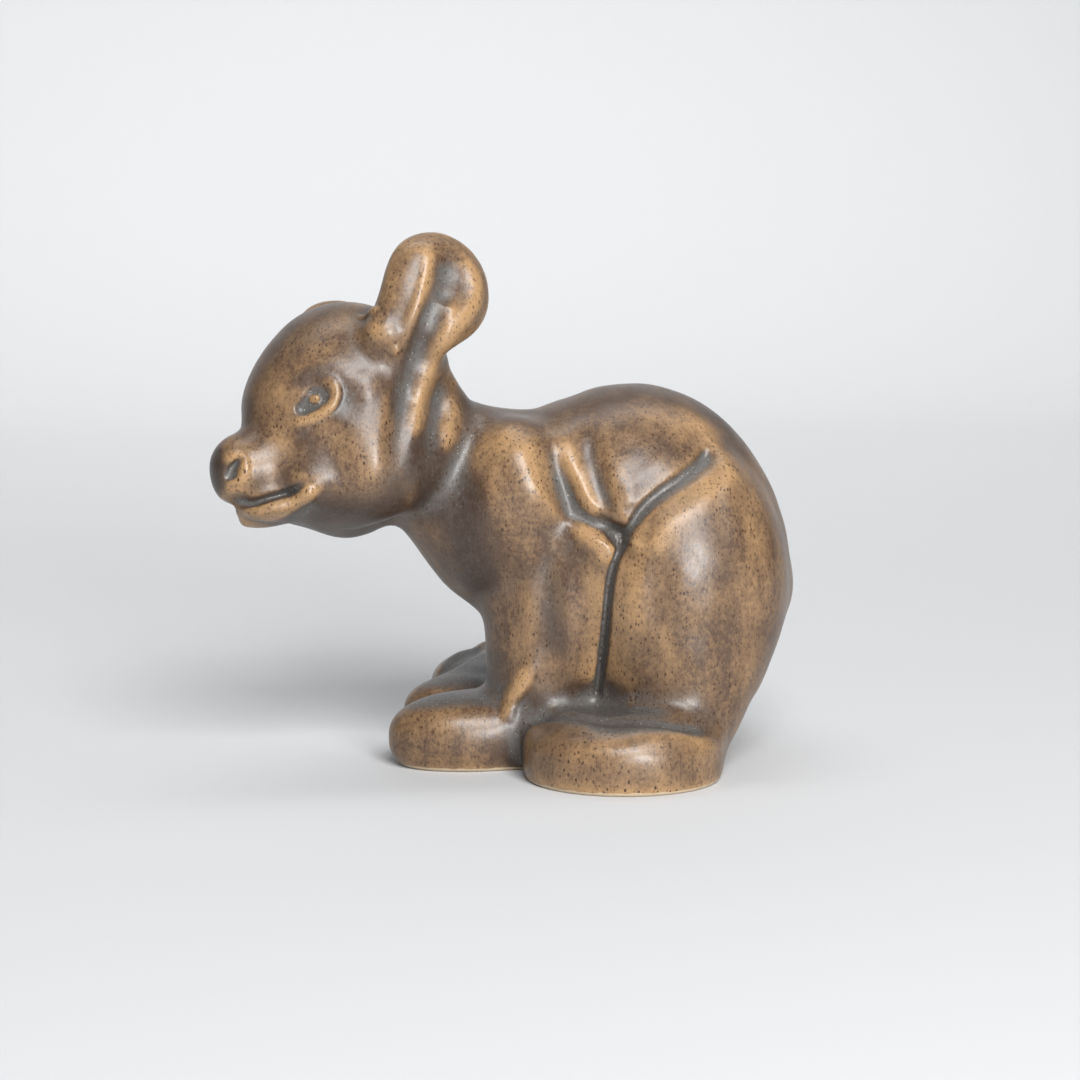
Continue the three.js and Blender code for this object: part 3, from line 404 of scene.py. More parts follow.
def curve(path, steps=6):
    """A smooth curve through a few points, as short steps."""
    points = np.array(path, float)
    last = len(points) - 1
    out = []
    for i in range(last):
        a, b, c, d = (points[max(0, min(n, last))] for n in (i - 1, i, i + 1, i + 2))
        for j in range(steps):
            t = j / steps
            bend = 2 * a - 5 * b + 4 * c - d
            twist = 3 * b - a - 3 * c + d
            out.append(0.5 * (2 * b + (c - a) * t + bend * t * t + twist * t ** 3))
    return np.array([*out, points[last]])


def stroke(line, a, b):
    """How much a carved line takes away at points of the plane that it is drawn in."""
    path, wide, deep, _, steep, ends = line
    steps = curve(path)
    reach = max(wide)
    low = steps.min(axis=0) - reach
    high = steps.max(axis=0) + reach
    taken = np.zeros_like(a)
    near = np.flatnonzero((a > low[0]) & (b > low[1]) & (a < high[0]) & (b < high[1]))
    if not len(near):
        return taken
    a, b = a[near], b[near]
    best = np.full_like(a, 1e9)
    along = np.zeros_like(a)
    last = len(steps) - 1
    for i in range(last):
        px, pz = steps[i]
        dx, dz = steps[i + 1] - steps[i]
        t = np.clip(((a - px) * dx + (b - pz) * dz) / (dx * dx + dz * dz), 0, 1)
        e = (a - px - t * dx) ** 2 + (b - pz - t * dz) ** 2
        closer = e < best
        best = np.where(closer, e, best)
        along = np.where(closer, (i + t) / last, along)
    radius = wide[0] + (wide[1] - wide[0]) * along
    share = np.maximum(1 - (best / (radius * radius)) ** steep, 0)
    fade = np.ones_like(a)
    if ends[0]:
        fade *= ramp(along, -PAST_END * ends[0], ends[0])
    if ends[1]:
        fade *= 1 - ramp(along, 1 - ends[1], 1 + PAST_END * ends[1])
    taken[near] = deep * share * share * fade
    return taken


def ramp(v, start, end):
    """0 before start, 1 after end, smooth in between."""
    t = np.clip((v - start) / (end - start), 0, 1)
    return t * t * (3 - 2 * t)


def moved(mass, dx, dy=0, dz=0):
    """The same mass in another place."""
    shift = {"centre": (dx, dy, dz), "from": (dx, dy, 0), "to": (dx, dy, 0)}
    place = {
        key: tuple(np.add(mass[key], shift[key]))
        for key in shift
        if key in mass
    }
    return {**mass, **place}


def legs(stance, x, y, z):
    """Distance to the two legs of one side."""
    side = stance["side"]
    fore = (stance["fore"], stance["apart"])
    behind = together([THIGH, SHANK, HEEL], x, y, z, side)
    foot = pad(moved(FOOT, stance["hind"], 0, stance["raised"]), x, y, z, side)
    foot = carve(foot, FOOT_TOP, x - stance["hind"], z - stance["raised"], y * side, FADE["foot"])
    behind = soften(behind, foot, FOOT["soft"])
    arm = together([moved(ARM, *fore), ELBOW, SHOULDER, moved(PAW, *fore)], x, y, z, side)
    return soften(behind, arm, BLEND["leg"])


def to_head(x, y, z):
    """Points in the head's frame: forward, sideways, up."""
    turn, tilt = math.radians(HEAD["turn"]), math.radians(HEAD["tilt"])
    dx = x - HEAD["centre"][0]
    dy = y - HEAD["centre"][1]
    dz = z - HEAD["centre"][2]
    forward = -math.cos(turn) * dx - math.sin(turn) * dy
    across = math.sin(turn) * dx - math.cos(turn) * dy
    sideways = across * math.cos(tilt) + dz * math.sin(tilt)
    return forward, sideways, dz * math.cos(tilt) - across * math.sin(tilt)


def strokes(lines, a, side, b, fade):
    """How much several carved lines take away together."""
    cut = np.zeros_like(a)
    for line in lines.values():
        cut += stroke(line, a, b) * ramp(side, line[3], line[3] + fade)
    return cut


def carve(d, lines, a, side, b, fade):
    """Adds carved lines to a distance."""
    near = np.flatnonzero(np.abs(d) < CARVED)
    out = d.copy()
    out[near] += strokes(lines, a[near], side[near], b[near], fade)
    return out


def head(x, y, z):
    """Distance to the head."""
    u, v, w = to_head(x, y, z)
    side = np.abs(v)
    ahead, above = HEAD["far_ear"]
    ear_u = u - np.where(v < 0, ahead, 0)
    ear_w = w - np.where(v < 0, above, 0)
    ear = together(EAR.values(), ear_u, side, ear_w)
    d = soften(together(SKULL.values(), u, side, w), ear, BLEND["ear"])
    d = carve(d, FACE, u, side, w, FADE["face"])
    return carve(d, EAR_FOLDS, ear_u, side, ear_w, FADE["face"])


def uneven(x, y, z):
    """The faint unevenness of clay that was smoothed by hand."""
    along, across, up = (2 * math.pi / apart for apart in UNEVEN["apart"])
    sway = UNEVEN["sway"] * np.sin(z * up)
    return UNEVEN["height"] * np.sin(x * along + sway) * np.sin(y * across + 1) * np.sin(z * up)


def clay(x, y, z):
    """Distance to the surface of the clay, negative inside."""
    d = soften(together(TORSO.values(), x, y, z), together(FRONT.values(), x, y, z), BLEND["back"])
    for stance in (NEAR, FAR):
        reached = np.flatnonzero(y * stance["side"] > -PAST_MIDDLE)
        part = legs(stance, x[reached], y[reached], z[reached])
        d[reached] = soften(d[reached], part, BLEND["leg"])
    d = carve(d, FLANK, x, np.abs(y), z, FADE["flank"])
    reached = np.flatnonzero(x < HEAD_ENDS)
    part = head(x[reached], y[reached], z[reached])
    d[reached] = soften(d[reached], part, BLEND["head"])
    d = carve(d, NECK_FOLDS, x, -y, z, FADE["neck"])
    return -soften(-d - uneven(x, y, z), z, FETTLED)


def tint(x, y, z):
    """How much thinner the glaze lies at points, less than nothing where it is thicker."""
    u, v, w = to_head(x, y, z)
    body = strokes(BODY_TINTS, x, np.abs(y), z, FADE["face"])
    return body + strokes(HEAD_TINTS, u, np.abs(v), w, FADE["face"])


# The box that holds the clay.
REACH = ((-88.0, -64.0, -3.0), (88.0, 64.0, 146.0))

# The eight corners of a cell, its edges and its faces.
CORNERS = [(a & 1, (a >> 1) & 1, (a >> 2) & 1) for a in range(8)]
EDGES = [(a, a | b) for a in range(8) for b in (1, 2, 4) if not a & b]
SIDES = [(0, 1, 3, 2), (4, 5, 7, 6), (0, 1, 5, 4), (2, 3, 7, 6), (0, 2, 6, 4), (1, 3, 7, 5)]


def tangled(pattern):
    """Whether two sheets of the surface would touch in a cell with this pattern of corners."""
    inside = [(pattern >> a) & 1 for a in range(8)]
    for a, b, c, d in SIDES:
        if inside[a] == inside[c] and inside[b] == inside[d] and inside[a] != inside[b]:
            return True
    group = list(range(8))
    for _ in range(8):
        for a, b in EDGES:
            if inside[a] == inside[b]:
                group[a] = group[b] = min(group[a], group[b])
    return len(set(group)) > 2


def sample(cell):
    """The field on a grid, worked out only near the surface."""
    block = 4
    spare = 1
    half_diagonal = 1.4
    chunk = 400000
    low = np.array(REACH[0])
    count = np.ceil((np.array(REACH[1]) - low) / cell / block).astype(int) * block + 1
    blocks = (count - 1) // block
    middles = [low[n] + (np.arange(blocks[n]) * block + block / 2) * cell for n in range(3)]
    x, y, z = (c.ravel() for c in np.meshgrid(*middles, indexing="ij"))
    coarse = clay(x, y, z)
    values = np.repeat(coarse.reshape(blocks), block, axis=0)
    values = np.repeat(np.repeat(values, block, axis=1), block, axis=2)
    values = np.pad(values, ((0, 1), (0, 1), (0, 1)), mode="edge").astype(np.float32)
    nearest = block * cell * half_diagonal + spare
    close = np.argwhere(np.abs(coarse.reshape(blocks)) < nearest) * block
    inner = np.stack(np.meshgrid(*[np.arange(block)] * 3, indexing="ij"), -1).reshape(-1, 3)
    wanted = (close[:, None, :] + inner[None]).reshape(-1, 3)
    for start in range(0, len(wanted), chunk):
        part = wanted[start:start + chunk]
        x, y, z = (low[n] + part[:, n] * cell for n in range(3))
        values[part[:, 0], part[:, 1], part[:, 2]] = clay(x, y, z)
    return values, low


def mixed_cells(inside):
    """The cells that the surface crosses, and which of their corners are inside."""
    pattern = np.zeros([n - 1 for n in inside.shape], np.uint8)
    for n, (a, b, c) in enumerate(CORNERS):
        shifted = inside[a:, b:, c:][:pattern.shape[0], :pattern.shape[1], :pattern.shape[2]]
        pattern |= shifted.astype(np.uint8) << n
    cells = np.argwhere((pattern > 0) & (pattern < 255))
    return cells, pattern[cells[:, 0], cells[:, 1], cells[:, 2]]


def untangle(values, cell):
    """Fills single corners of the grid until no two sheets touch."""
    most_rounds = 40
    just_inside = -0.05 * cell
    table = np.array([tangled(pattern) for pattern in range(256)])
    for _ in range(most_rounds):
        cells, pattern = mixed_cells(values < 0)
        knots = cells[table[pattern]]
        if not len(knots):
            return
        corners = knots[:, None, :] + np.array(CORNERS)[None]
        found = values[corners[..., 0], corners[..., 1], corners[..., 2]]
        shallow = np.where(found >= 0, found, np.inf).argmin(axis=1)
        pick = corners[np.arange(len(knots)), shallow]
        values[pick[:, 0], pick[:, 1], pick[:, 2]] = just_inside


def polygonise(cell):
    """One point in each cell that the surface crosses, joined into quads."""
    values, low = sample(cell)
    untangle(values, cell)
    inside = values < 0
    cells, _ = mixed_cells(inside)
    corner_values = np.stack(
        [values[cells[:, 0] + a, cells[:, 1] + b, cells[:, 2] + c] for a, b, c in CORNERS], 1
    )
    total = np.zeros((len(cells), 3))
    crossed = np.zeros(len(cells))
    for a, b in EDGES:
        va, vb = corner_values[:, a], corner_values[:, b]
        hit = (va < 0) != (vb < 0)
        t = np.where(hit, va / np.where(hit, va - vb, 1), 0)[:, None]
        place = np.array(CORNERS[a]) + t * (np.array(CORNERS[b]) - np.array(CORNERS[a]))
        total += np.where(hit[:, None], place, 0)
        crossed += hit
    points = low + (cells + total / crossed[:, None]) * cell
    index = np.full(values.shape, -1, np.int32)
    index[cells[:, 0], cells[:, 1], cells[:, 2]] = np.arange(len(cells))
    quads = []
    for axis in range(3):
        ahead = np.roll(inside, -1, axis=axis)
        flip = inside != ahead
        flip.swapaxes(0, axis)[-1] = False
        edge = np.argwhere(flip)
        second, third = (axis + 1) % 3, (axis + 2) % 3
        back2, back3 = np.zeros(3, int), np.zeros(3, int)
        back2[second] = 1
        back3[third] = 1
        ring = np.stack(
            [
                index[tuple((edge - back2 - back3).T)],
                index[tuple((edge - back3).T)],
                index[tuple(edge.T)],
                index[tuple((edge - back2).T)],
            ],
            1,
        )
        outward = inside[tuple(edge.T)]
        quads.append(np.where(outward[:, None], ring, ring[:, ::-1]))
    return points, np.concatenate(quads)


def outer_shell(points, quads):
    """Leaves out the small hollows that carved lines can enclose under the surface."""
    most_rounds = 2000
    group = np.arange(len(points))
    for _ in range(most_rounds):
        least = group[quads].min(axis=1)
        found = group.copy()
        for n in range(4):
            np.minimum.at(found, quads[:, n], least)
        found = found[found]
        if np.array_equal(found, group):
            break
        group = found
    names, sizes = np.unique(group, return_counts=True)
    kept = group == names[sizes.argmax()]
    number = np.cumsum(kept) - 1
    return points[kept], number[quads[kept[quads[:, 0]]]]


def slopes(points):
    """The field and its slope at points."""
    here = clay(*points.T)
    out = np.empty_like(points)
    for axis in range(3):
        shifted = points.copy()
        shifted[:, axis] += SLOPE_STEP
        out[:, axis] = (clay(*shifted.T) - here) / SLOPE_STEP
    return here, out


def settle(points, rounds=2):
    """Slides points along the slope of the field onto the surface."""
    furthest = 0.5
    least_slope = 0.5
    for _ in range(rounds):
        here, slope = slopes(points)
        size = np.maximum((slope ** 2).sum(axis=1), least_slope)
        move = np.clip(here / np.sqrt(size), -furthest, furthest) / np.sqrt(size)
        points = points - slope * move[:, None]
    return points


def bend(points, step):
    """How strongly the surface curves at a scale: above 0 on edges, below 0 in creases."""
    here = clay(*points.T)
    total = -6 * here
    for axis in range(3):
        for way in (-step, step):
            shifted = points.copy()
            shifted[:, axis] += way
            total += clay(*shifted.T)
    return total / (step * step)


def mesh_from(points, faces):
    """A mesh from points and from faces that all have the same number of corners."""
    mesh = bpy.data.meshes.new("bear_glazed")
    mesh.vertices.add(len(points))
    mesh.vertices.foreach_set("co", points.astype(np.float32).ravel())
    sides = faces.shape[1]
    mesh.loops.add(faces.size)
    mesh.loops.foreach_set("vertex_index", faces.astype(np.int32).ravel())
    mesh.polygons.add(len(faces))
    mesh.polygons.foreach_set("loop_start", np.arange(len(faces), dtype=np.int32) * sides)
    mesh.update(calc_edges=True)
    return mesh


def store(mesh, name, values):
    """Keeps one number for each vertex."""
    mesh.attributes.new(name, "FLOAT", "POINT").data.foreach_set("value", values.astype(np.float32))


def spread(mesh, values, rounds):
    """Evens out a number between neighbouring vertices, as the running glaze does."""
    ends = np.empty(len(mesh.edges) * 2, np.int32)
    mesh.edges.foreach_get("vertices", ends)
    a, b = ends[::2], ends[1::2]
    count = len(mesh.vertices)
    links = np.bincount(a, minlength=count) + np.bincount(b, minlength=count)
    for _ in range(rounds):
        around = np.bincount(a, values[b], count) + np.bincount(b, values[a], count)
        values = 0.5 * values + 0.5 * around / links
    return values


def plain_copy(obj):
    """The object's mesh with its modifiers applied, and the modifiers removed."""
    graph = bpy.context.evaluated_depsgraph_get()
    mesh = bpy.data.meshes.new_from_object(obj.evaluated_get(graph))
    obj.modifiers.clear()
    old = obj.data
    obj.data = mesh
    bpy.data.meshes.remove(old)
    return mesh


def node(tree, kind, inputs=(), **settings):
    """Adds a node. inputs maps a socket's name or number to a value or to a socket to link."""
    made = tree.nodes.new(kind)
    for name, value in settings.items():
        setattr(made, name, value)
    for key, value in dict(inputs).items():
        if isinstance(value, bpy.types.NodeSocket):
            tree.links.new(value, made.inputs[key])
        else:
            made.inputs[key].default_value = value
    return made


def material(name):
    """A new node material and its tree, with only an output and a shader in it."""
    made = bpy.data.materials.new(name)
    made.use_nodes = True
    tree = made.node_tree
    tree.nodes.clear()
    shader = tree.nodes.new("ShaderNodeBsdfPrincipled")
    out = tree.nodes.new("ShaderNodeOutputMaterial")
    tree.links.new(shader.outputs["BSDF"], out.inputs["Surface"])
    return made, tree, shader


# How far round itself the glaze is led by the form, in millimetres: by sharp edges, by broad
# edges, by the room there is in front of it, which also sets painted shade in broad hollows,
# and by the thickness of the clay behind it.
SHARP = 1.4
BROAD = 3.6
ROOM = 9
BEHIND = 6

# How much each of these thins or thickens the glaze, and from where to where it counts. The
# hollows are darkened to umber partly as glaze lying thick and partly as painted shade.
THINNED = {"sharp": (0.9, 0, 0.5), "broad": (1.4, 0.06, 0.36), "narrow": (0.5, 0.3, 0.9)}
THICKENED = {"sharp": (0.7, 0, 0.8), "broad": (1.4, 0, 0.3), "level": (0.6, 0, 1)}
SHADED = {"hollow": (1.4, 0.15, 0.75)}

# How much of a tint counts where the glaze pools, and the most that a dark tint adds there;
# the dark tints include the painted shade ones.
POOL_TINT = 0.5
DARKEST_TINT = -0.25

# How many times each measure is evened out between neighbours.
EVENED = {"edge": 6, "pool": 4, "hollow": 8}

# The level tops of the feet, where the glaze settles: how level, and between which heights.
LEVEL = (0.75, 0.97)
FOOT_LOW = (5, 9)
FOOT_HIGH = (22, 30)


def weighed(weights, measures):
    """Adds up measures of the form, each within its own limits."""
    return sum(
        amount * np.clip(measures[name] - low, 0, high - low)
        for name, (amount, low, high) in weights.items()
    )


def run_glaze(mesh, points):
    """Stores where the glaze is thin, where it pools, and where it lies thick in broad hollows, which is
    partly painted shade there, under the jaw and chest, and on the hump and crown.
    """
    sharp = bend(points, SHARP)
    broad = bend(points, BROAD)
    slope = slopes(points)[1]
    normal = slope / np.sqrt((slope ** 2).sum(axis=1))[:, None]
    level = ramp(normal[:, 2], *LEVEL)
    level *= ramp(points[:, 2], *FOOT_LOW) * (1 - ramp(points[:, 2], *FOOT_HIGH))
    patches = tint(*points.T)
    narrow = 1 + clay(*(points - BEHIND * normal).T) / BEHIND
    # Painted shade, partly also glaze lying thick: darker where little room opens in front of the surface, as
    # under the head and between the legs.
    hollow = 1 - clay(*(points + ROOM * normal).T) / ROOM
    creases = {"sharp": -sharp, "broad": -broad, "level": level}
    measures = {
        "edge": weighed(THINNED, {"sharp": sharp, "broad": broad, "narrow": narrow}) + patches,
        "pool": weighed(THICKENED, creases) - POOL_TINT * np.maximum(patches, DARKEST_TINT),
        "hollow": weighed(SHADED, {"hollow": hollow}) - patches,
    }
    for name, values in measures.items():
        store(mesh, name, np.clip(spread(mesh, values, EVENED[name]), 0, 1))


def per_mm(size):
    """The scale of a pattern whose feature has this size in millimetres."""
    return 1 / (size * MM)


class BearShape(bpy.types.PropertyGroup):
    height: FloatProperty(
        name="Height",
        description="From the base to the top of the raised ear",
        default=FIGURE_HIGH.z - FIGURE_LOW.z,
        min=0.05,
        unit="LENGTH",
    )
    grain: FloatProperty(
        name="Finest detail",
        description="Size of the cells that the clay is turned into a surface with, in millimetres",
        default=0.62,
        min=0.4,
        max=3,
    )
    triangles: IntProperty(
        name="Triangles",
        description="How many triangles are kept",
        default=192000,
        min=5000,
    )


class BearGlaze(bpy.types.PropertyGroup):
    brown: FloatVectorProperty(
        name="Iron brown", description="The glaze where it is of even thickness",
        subtype="COLOR", size=3, default=linear("503d2f"), min=0, max=1,
    )
    ochre: FloatVectorProperty(
        name="Ochre", description="The glaze where it breaks thin over edges",
        subtype="COLOR", size=3, default=linear("9b7b57"), min=0, max=1,
    )
    pooled: FloatVectorProperty(
        name="Pooled", description="The glaze where it lies thick in creases",
        subtype="COLOR", size=3, default=linear("53504d"), min=0, max=1,
    )
    # Umber is partly glaze lying thick in broad hollows and partly painted shade there, under the jaw and
    # chest, and on the hump and crown.
    umber: FloatVectorProperty(
        name="Umber", description="The glaze where it lies thick in broad hollows",
        subtype="COLOR", size=3, default=linear("34271f"), min=0, max=1,
    )
    specks: FloatVectorProperty(
        name="Iron specks", description="The small dark specks all over",
        subtype="COLOR", size=3, default=linear("372314"), min=0, max=1,
    )
    crystals: FloatVectorProperty(
        name="Crystals", description="The fine pale crystals in the pooled glaze",
        subtype="COLOR", size=3, default=linear("a9a79c"), min=0, max=1,
    )
    clay: FloatVectorProperty(
        name="Bare clay", description="The unglazed line at the bottom",
        subtype="COLOR", size=3, default=linear("b9a68c"), min=0, max=1,
    )
    bare: FloatProperty(
        name="Bare line", description="How far up the base is left without glaze",
        default=0.9 * MM, min=0, unit="LENGTH",
    )


class BearStudio(bpy.types.PropertyGroup):
    floor: FloatVectorProperty(
        name="Floor", description="The plain pale floor",
        subtype="COLOR", size=3, default=linear("c9cacb"), min=0, max=1,
    )
    light: FloatProperty(
        name="Light", description="Strength of the soft lights",
        default=1.0, min=0,
    )


# The sizes of the glaze's patterns, in millimetres.
PATTERN = {
    "cloud": 22,
    "shade": 15,
    "crowd": 9,
    "drift": 5.5,
    "ragged edge": 2.5,
    "mottle": 1.6,
    "smudge": 0.9,
    "fleck": 0.85,
    "grain": 0.7,
    "fine fleck": 0.55,
    "crystal": 0.55,
}

# How deep the mottling lies under the glaze's shine.
MOTTLE_DEPTH = 0.12 * MM


def glaze_material(look):
    """Satin iron glaze on moulded stoneware, dipped and fired once.

    The glaze breaks to ochre where it runs thin over edges, pools grey in creases and on the
    tops of the feet, turns to umber in broad hollows and carries fine iron specks, so the eye
    reads the carving twice, in shade and in colour. The umber is partly painted shade, laid in
    broad hollows, under the jaw and chest, and on the hump and crown.
    """
    made, tree, shader = material("satin_iron_glaze_stoneware")

    def colour(values):
        return (*values, 1)

    place = node(tree, "ShaderNodeTexCoord").outputs["Object"]
    upright = node(tree, "ShaderNodeSeparateXYZ", {0: place}).outputs["Z"]
    edge = node(tree, "ShaderNodeAttribute", attribute_name="edge").outputs["Fac"]
    pool = node(tree, "ShaderNodeAttribute", attribute_name="pool").outputs["Fac"]
    hollow = node(tree, "ShaderNodeAttribute", attribute_name="hollow").outputs["Fac"]

    def noise(name, detail, where=place, rough=0.5):
        size = per_mm(PATTERN[name])
        return node(
            tree,
            "ShaderNodeTexNoise",
            {"Vector": where, "Scale": size, "Detail": detail, "Roughness": rough},
        ).outputs["Fac"]

    def stretched(amount):
        return node(
            tree, "ShaderNodeMapping", {"Vector": place, "Scale": (1, 1, amount)}
        ).outputs["Vector"]

    def math_node(kind, a, b):
        return node(tree, "ShaderNodeMath", {0: a, 1: b}, operation=kind).outputs[0]

    def mix(factor, a, b):
        return node(
            tree, "ShaderNodeMix", {"Factor": factor, 6: a, 7: b}, data_type="RGBA"
        ).outputs[2]

    def span(value, low, high, out_low=0.0, out_high=1.0):
        return node(
            tree,
            "ShaderNodeMapRange",
            {"Value": value, 1: low, 2: high, 3: out_low, 4: out_high},
        ).outputs["Result"]

    def dots(name, where, left_out, radius):
        """Round dots of up to this radius, with some of the cells of the pattern left out."""
        size = per_mm(PATTERN[name])
        cells = node(tree, "ShaderNodeTexVoronoi", {"Vector": where, "Scale": size})
        chance = node(tree, "ShaderNodeSeparateColor", {0: cells.outputs["Color"]}).outputs["Red"]
        reach = span(chance, left_out, 1, 0, radius)
        return span(math_node("SUBTRACT", reach, cells.outputs["Distance"]), 0, 0.06)

    def add(a, b):
        return math_node("ADD", a, b)

    def times(a, b):
        return math_node("MULTIPLY", a, b)

    cloud = noise("cloud", 3)
    drift = noise("drift", 4, stretched(0.4), 0.6)
    mottle = noise("mottle", 4, place, 0.65)
    grain = noise("grain", 3, stretched(0.6), 0.7)

    thin = add(add(times(cloud, 0.8), drift), add(mottle, times(grain, 0.7)))
    body = mix(span(add(thin, edge), 1.62, 2.6), colour(look.brown), colour(look.ochre))
    shade = add(noise("shade", 3, stretched(0.5)), times(mottle, 0.8))
    # Umber: random thick glaze and glaze lying thick in broad hollows, with painted shade in the hollows,
    # under the jaw and chest, and on the hump and crown.
    body = mix(span(add(shade, hollow), 0.95, 1.5, 0, 0.85), body, colour(look.umber))
    thick = add(times(pool, 1.5), add(times(mottle, 0.6), times(grain, 0.4)))
    pooled = span(thick, 0.6, 1.4)
    body = mix(pooled, body, colour(look.pooled))
    crowd = span(noise("crowd", 2), 0.38, 0.62, 0.4, 1)
    fleck = times(dots("fleck", stretched(0.6), 0.1, 0.42), crowd)
    fine_fleck = dots("fine fleck", stretched(0.7), 0.2, 0.4)
    smudge = span(noise("smudge", 2, stretched(0.6)), 0.6, 0.72)
    body = mix(times(smudge, 0.6), body, colour(look.specks))
    body = mix(times(fleck, 0.92), body, colour(look.specks))
    body = mix(times(fine_fleck, 0.45), body, colour(look.specks))
    crystal = times(dots("crystal", place, 0.7, 0.34), pooled)
    body = mix(times(crystal, 0.75), body, colour(look.crystals))
    ragged = add(upright, times(math_node("SUBTRACT", noise("ragged edge", 2), 0.5), 0.9 * MM))
    base = span(ragged, look.bare, look.bare + 0.25 * MM)
    body = mix(base, colour(look.clay), body)
    tree.links.new(body, shader.inputs["Base Color"])
    rough = add(span(mottle, 0.3, 0.7, 0.29, 0.39), times(pooled, 0.08))
    rough = node(tree, "ShaderNodeMix", {"Factor": base, 2: 0.85, 3: rough}).outputs[0]
    tree.links.new(rough, shader.inputs["Roughness"])
    shader.inputs["IOR"].default_value = 1.52
    height = add(times(mottle, 0.6), times(grain, 0.5))
    bump = node(
        tree,
        "ShaderNodeBump",
        {"Strength": 0.6, "Distance": MOTTLE_DEPTH, "Height": height},
    ).outputs["Normal"]
    tree.links.new(bump, shader.inputs["Normal"])
    return made


class BEAR_OT_figure(bpy.types.Operator):
    """Makes the glazed figure from its masses of clay and its carved lines"""

    bl_idname = "bear.figure"
    bl_label = "Glazed figure"

    def execute(self, context):
        shape = context.scene.bear_shape
        points, quads = outer_shell(*polygonise(shape.grain))
        points = settle(points)
        mesh = mesh_from(points, quads)
        obj = bpy.data.objects.new("bear_glazed", mesh)
        context.scene.collection.objects.link(obj)
        thin = obj.modifiers.new("thin", "DECIMATE")
        thin.ratio = min(1, shape.triangles / (2 * len(quads)))
        mesh = plain_copy(obj)

        points = np.empty(len(mesh.vertices) * 3)
        mesh.vertices.foreach_get("co", points)
        points = points.reshape(-1, 3)
        run_glaze(mesh, points)

        size = shape.height / np.ptp(points[:, 2])
        middle = (points.max(axis=0) + points.min(axis=0)) / 2
        points[:, :2] -= middle[:2]
        points[:, 2] -= points[:, 2].min()
        mesh.vertices.foreach_set("co", (points * size).astype(np.float32).ravel())
        mesh.polygons.foreach_set("use_smooth", np.ones(len(mesh.polygons), bool))
        mesh.update()
        mesh.materials.clear()
        mesh.materials.append(glaze_material(context.scene.bear_glaze))
        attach(obj, "root")
        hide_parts("bear")
        return {"FINISHED"}


# The floor, which runs up behind the figure in one bend, in metres.
SWEEP = {"half_width": 2.5, "back": 0.9, "radius": 0.5, "top": 2.6, "steps": 16}

# The camera that looks from the photograph's angle: its place in millimetres, its focal length
# in millimetres for a sensor 36 mm wide, and how far it looks down and turns, in degrees.
CAMERA = {"place": (-82.7, -654.97, 148.3), "lens": 82.83, "down": 7.79, "turn": -8}


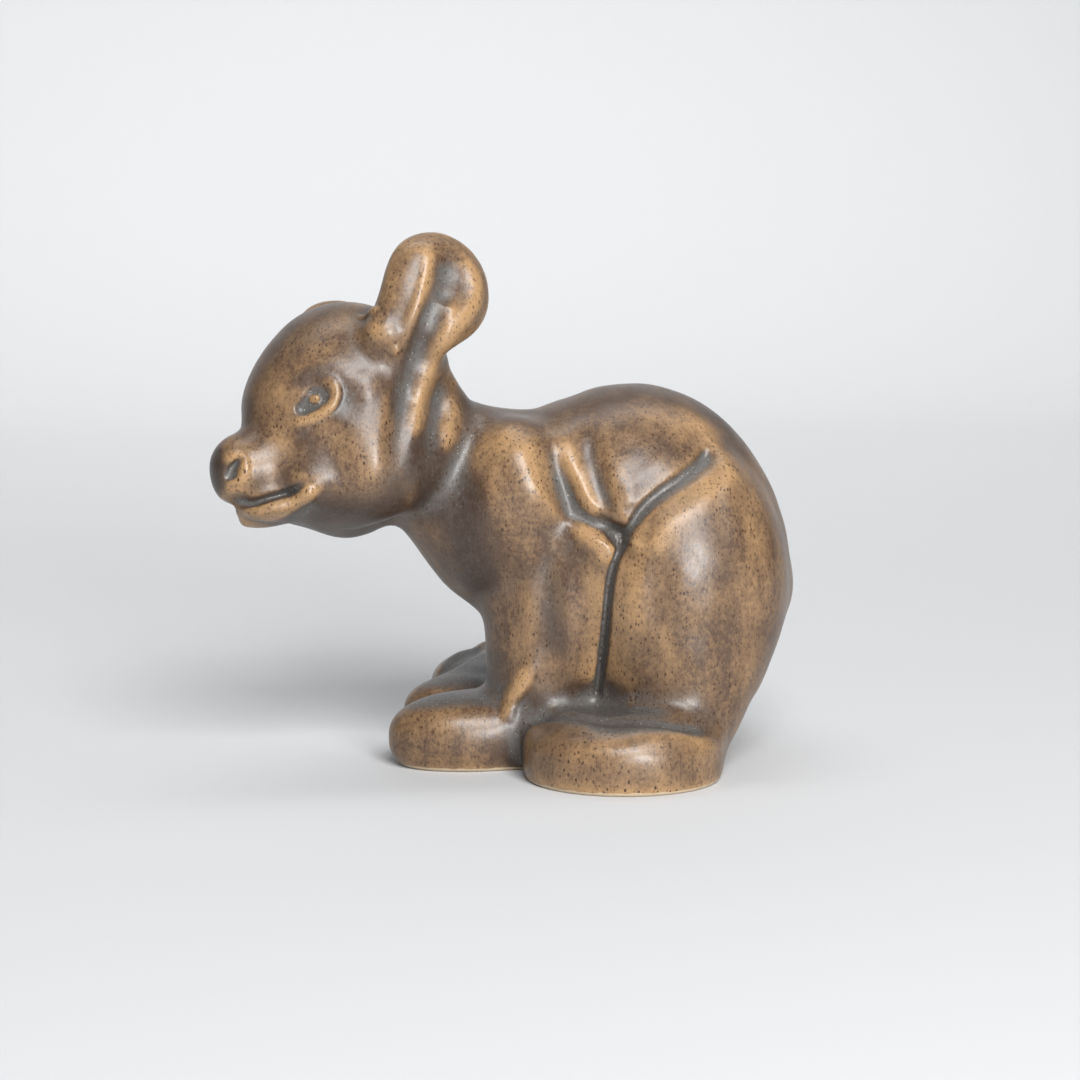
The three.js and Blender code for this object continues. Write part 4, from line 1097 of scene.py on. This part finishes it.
class BEAR_OT_studio(bpy.types.Operator):
    """Makes the plain pale floor, the soft light and the camera"""

    bl_idname = "bear.studio"
    bl_label = "Studio"

    def execute(self, context):
        look = context.scene.bear_studio
        scene = context.scene
        made, tree, shader = material("matt_painted_board")
        shader.inputs["Base Color"].default_value = (*look.floor, 1)
        shader.inputs["Roughness"].default_value = 0.85
        turns = [math.pi / 2 * n / SWEEP["steps"] for n in range(SWEEP["steps"] + 1)]
        back, radius = SWEEP["back"], SWEEP["radius"]
        line = [(-SWEEP["half_width"], 0)]
        line += [(back + radius * math.sin(t), radius * (1 - math.cos(t))) for t in turns]
        line += [(back + radius, SWEEP["top"])]
        corners = np.array([(side * SWEEP["half_width"], y, z) for y, z in line for side in (-1, 1)])
        rows = 2 * np.arange(len(line) - 1)
        quads = np.stack([rows, rows + 1, rows + 3, rows + 2], 1)
        floor = bpy.data.objects.new("floor", mesh_from(corners, quads))
        floor.data.polygons.foreach_set("use_smooth", np.ones(len(quads), bool))
        floor.data.materials.append(made)
        scene.collection.objects.link(floor)

        world = bpy.data.worlds.new("studio")
        world.use_nodes = True
        world.node_tree.nodes["Background"].inputs["Color"].default_value = (0.9, 0.93, 1, 1)
        world.node_tree.nodes["Background"].inputs["Strength"].default_value = 0.16
        scene.world = world

        def softbox(name, place, target, width, height, power, spread_angle=180):
            light = bpy.data.lights.new(name, "AREA")
            light.shape = "RECTANGLE"
            light.size = width
            light.size_y = height
            light.energy = power * look.light
            light.spread = math.radians(spread_angle)
            lamp = bpy.data.objects.new(name, light)
            lamp.location = place
            lamp.rotation_euler = (Vector(target) - Vector(place)).to_track_quat("-Z", "Y").to_euler()
            scene.collection.objects.link(lamp)

        softbox("key_light", (0.1, -1.0, 0.9), (0, 0, 0.06), 0.7, 0.5, 17)
        softbox("front_light", (0.3, -1.3, 0.3), (0, 0, 0.06), 0.4, 0.4, 15)
        softbox("back_light", (0.1, 0.5, 1.8), (0, 1.3, 0.1), 2.2, 0.8, 14, 110)

        # The plain transform keeps the glaze's browns as they are.
        scene.view_settings.view_transform = "Standard"

        camera = bpy.data.objects.new("camera", bpy.data.cameras.new("camera"))
        camera.data.sensor_width = 36
        camera.data.lens = CAMERA["lens"]
        camera.data.clip_start = 0.01
        camera.data.clip_end = 50
        camera.location = [value * MM for value in CAMERA["place"]]
        upright = math.radians(90 - CAMERA["down"])
        camera.rotation_euler = (upright, 0, math.radians(CAMERA["turn"]))
        scene.collection.objects.link(camera)
        scene.camera = camera
        return {"FINISHED"}


class BEAR_PT_sidebar(bpy.types.Panel):
    """Lists the figure's sizes and colours, and the buttons that make it"""

    bl_idname = "BEAR_PT_sidebar"
    bl_label = "Bear figurine"
    bl_space_type = "VIEW_3D"
    bl_region_type = "UI"
    bl_category = "Bear"

    def draw(self, context):
        for group, operator in (
            ("bear_shape", "bear.figure"),
            ("bear_glaze", None),
            ("bear_studio", "bear.studio"),
        ):
            box = self.layout.box()
            values = getattr(context.scene, group)
            for name in values.bl_rna.properties.keys():
                if name not in ("rna_type", "name"):
                    box.prop(values, name)
            if operator:
                box.operator(operator)


GROUPS = {"bear_shape": BearShape, "bear_glaze": BearGlaze, "bear_studio": BearStudio}
CLASSES = (*GROUPS.values(), BEAR_OT_figure, BEAR_OT_studio, BEAR_PT_sidebar)


def register():
    for made in CLASSES:
        bpy.utils.register_class(made)
    for name, group in GROUPS.items():
        setattr(bpy.types.Scene, name, PointerProperty(type=group))


def unregister():
    for name in GROUPS:
        delattr(bpy.types.Scene, name)
    for made in reversed(CLASSES):
        bpy.utils.unregister_class(made)


def main():
    register()
    bpy.ops.bear.studio()
    bpy.ops.bear.figure()


if __name__ == "__main__":
    main()
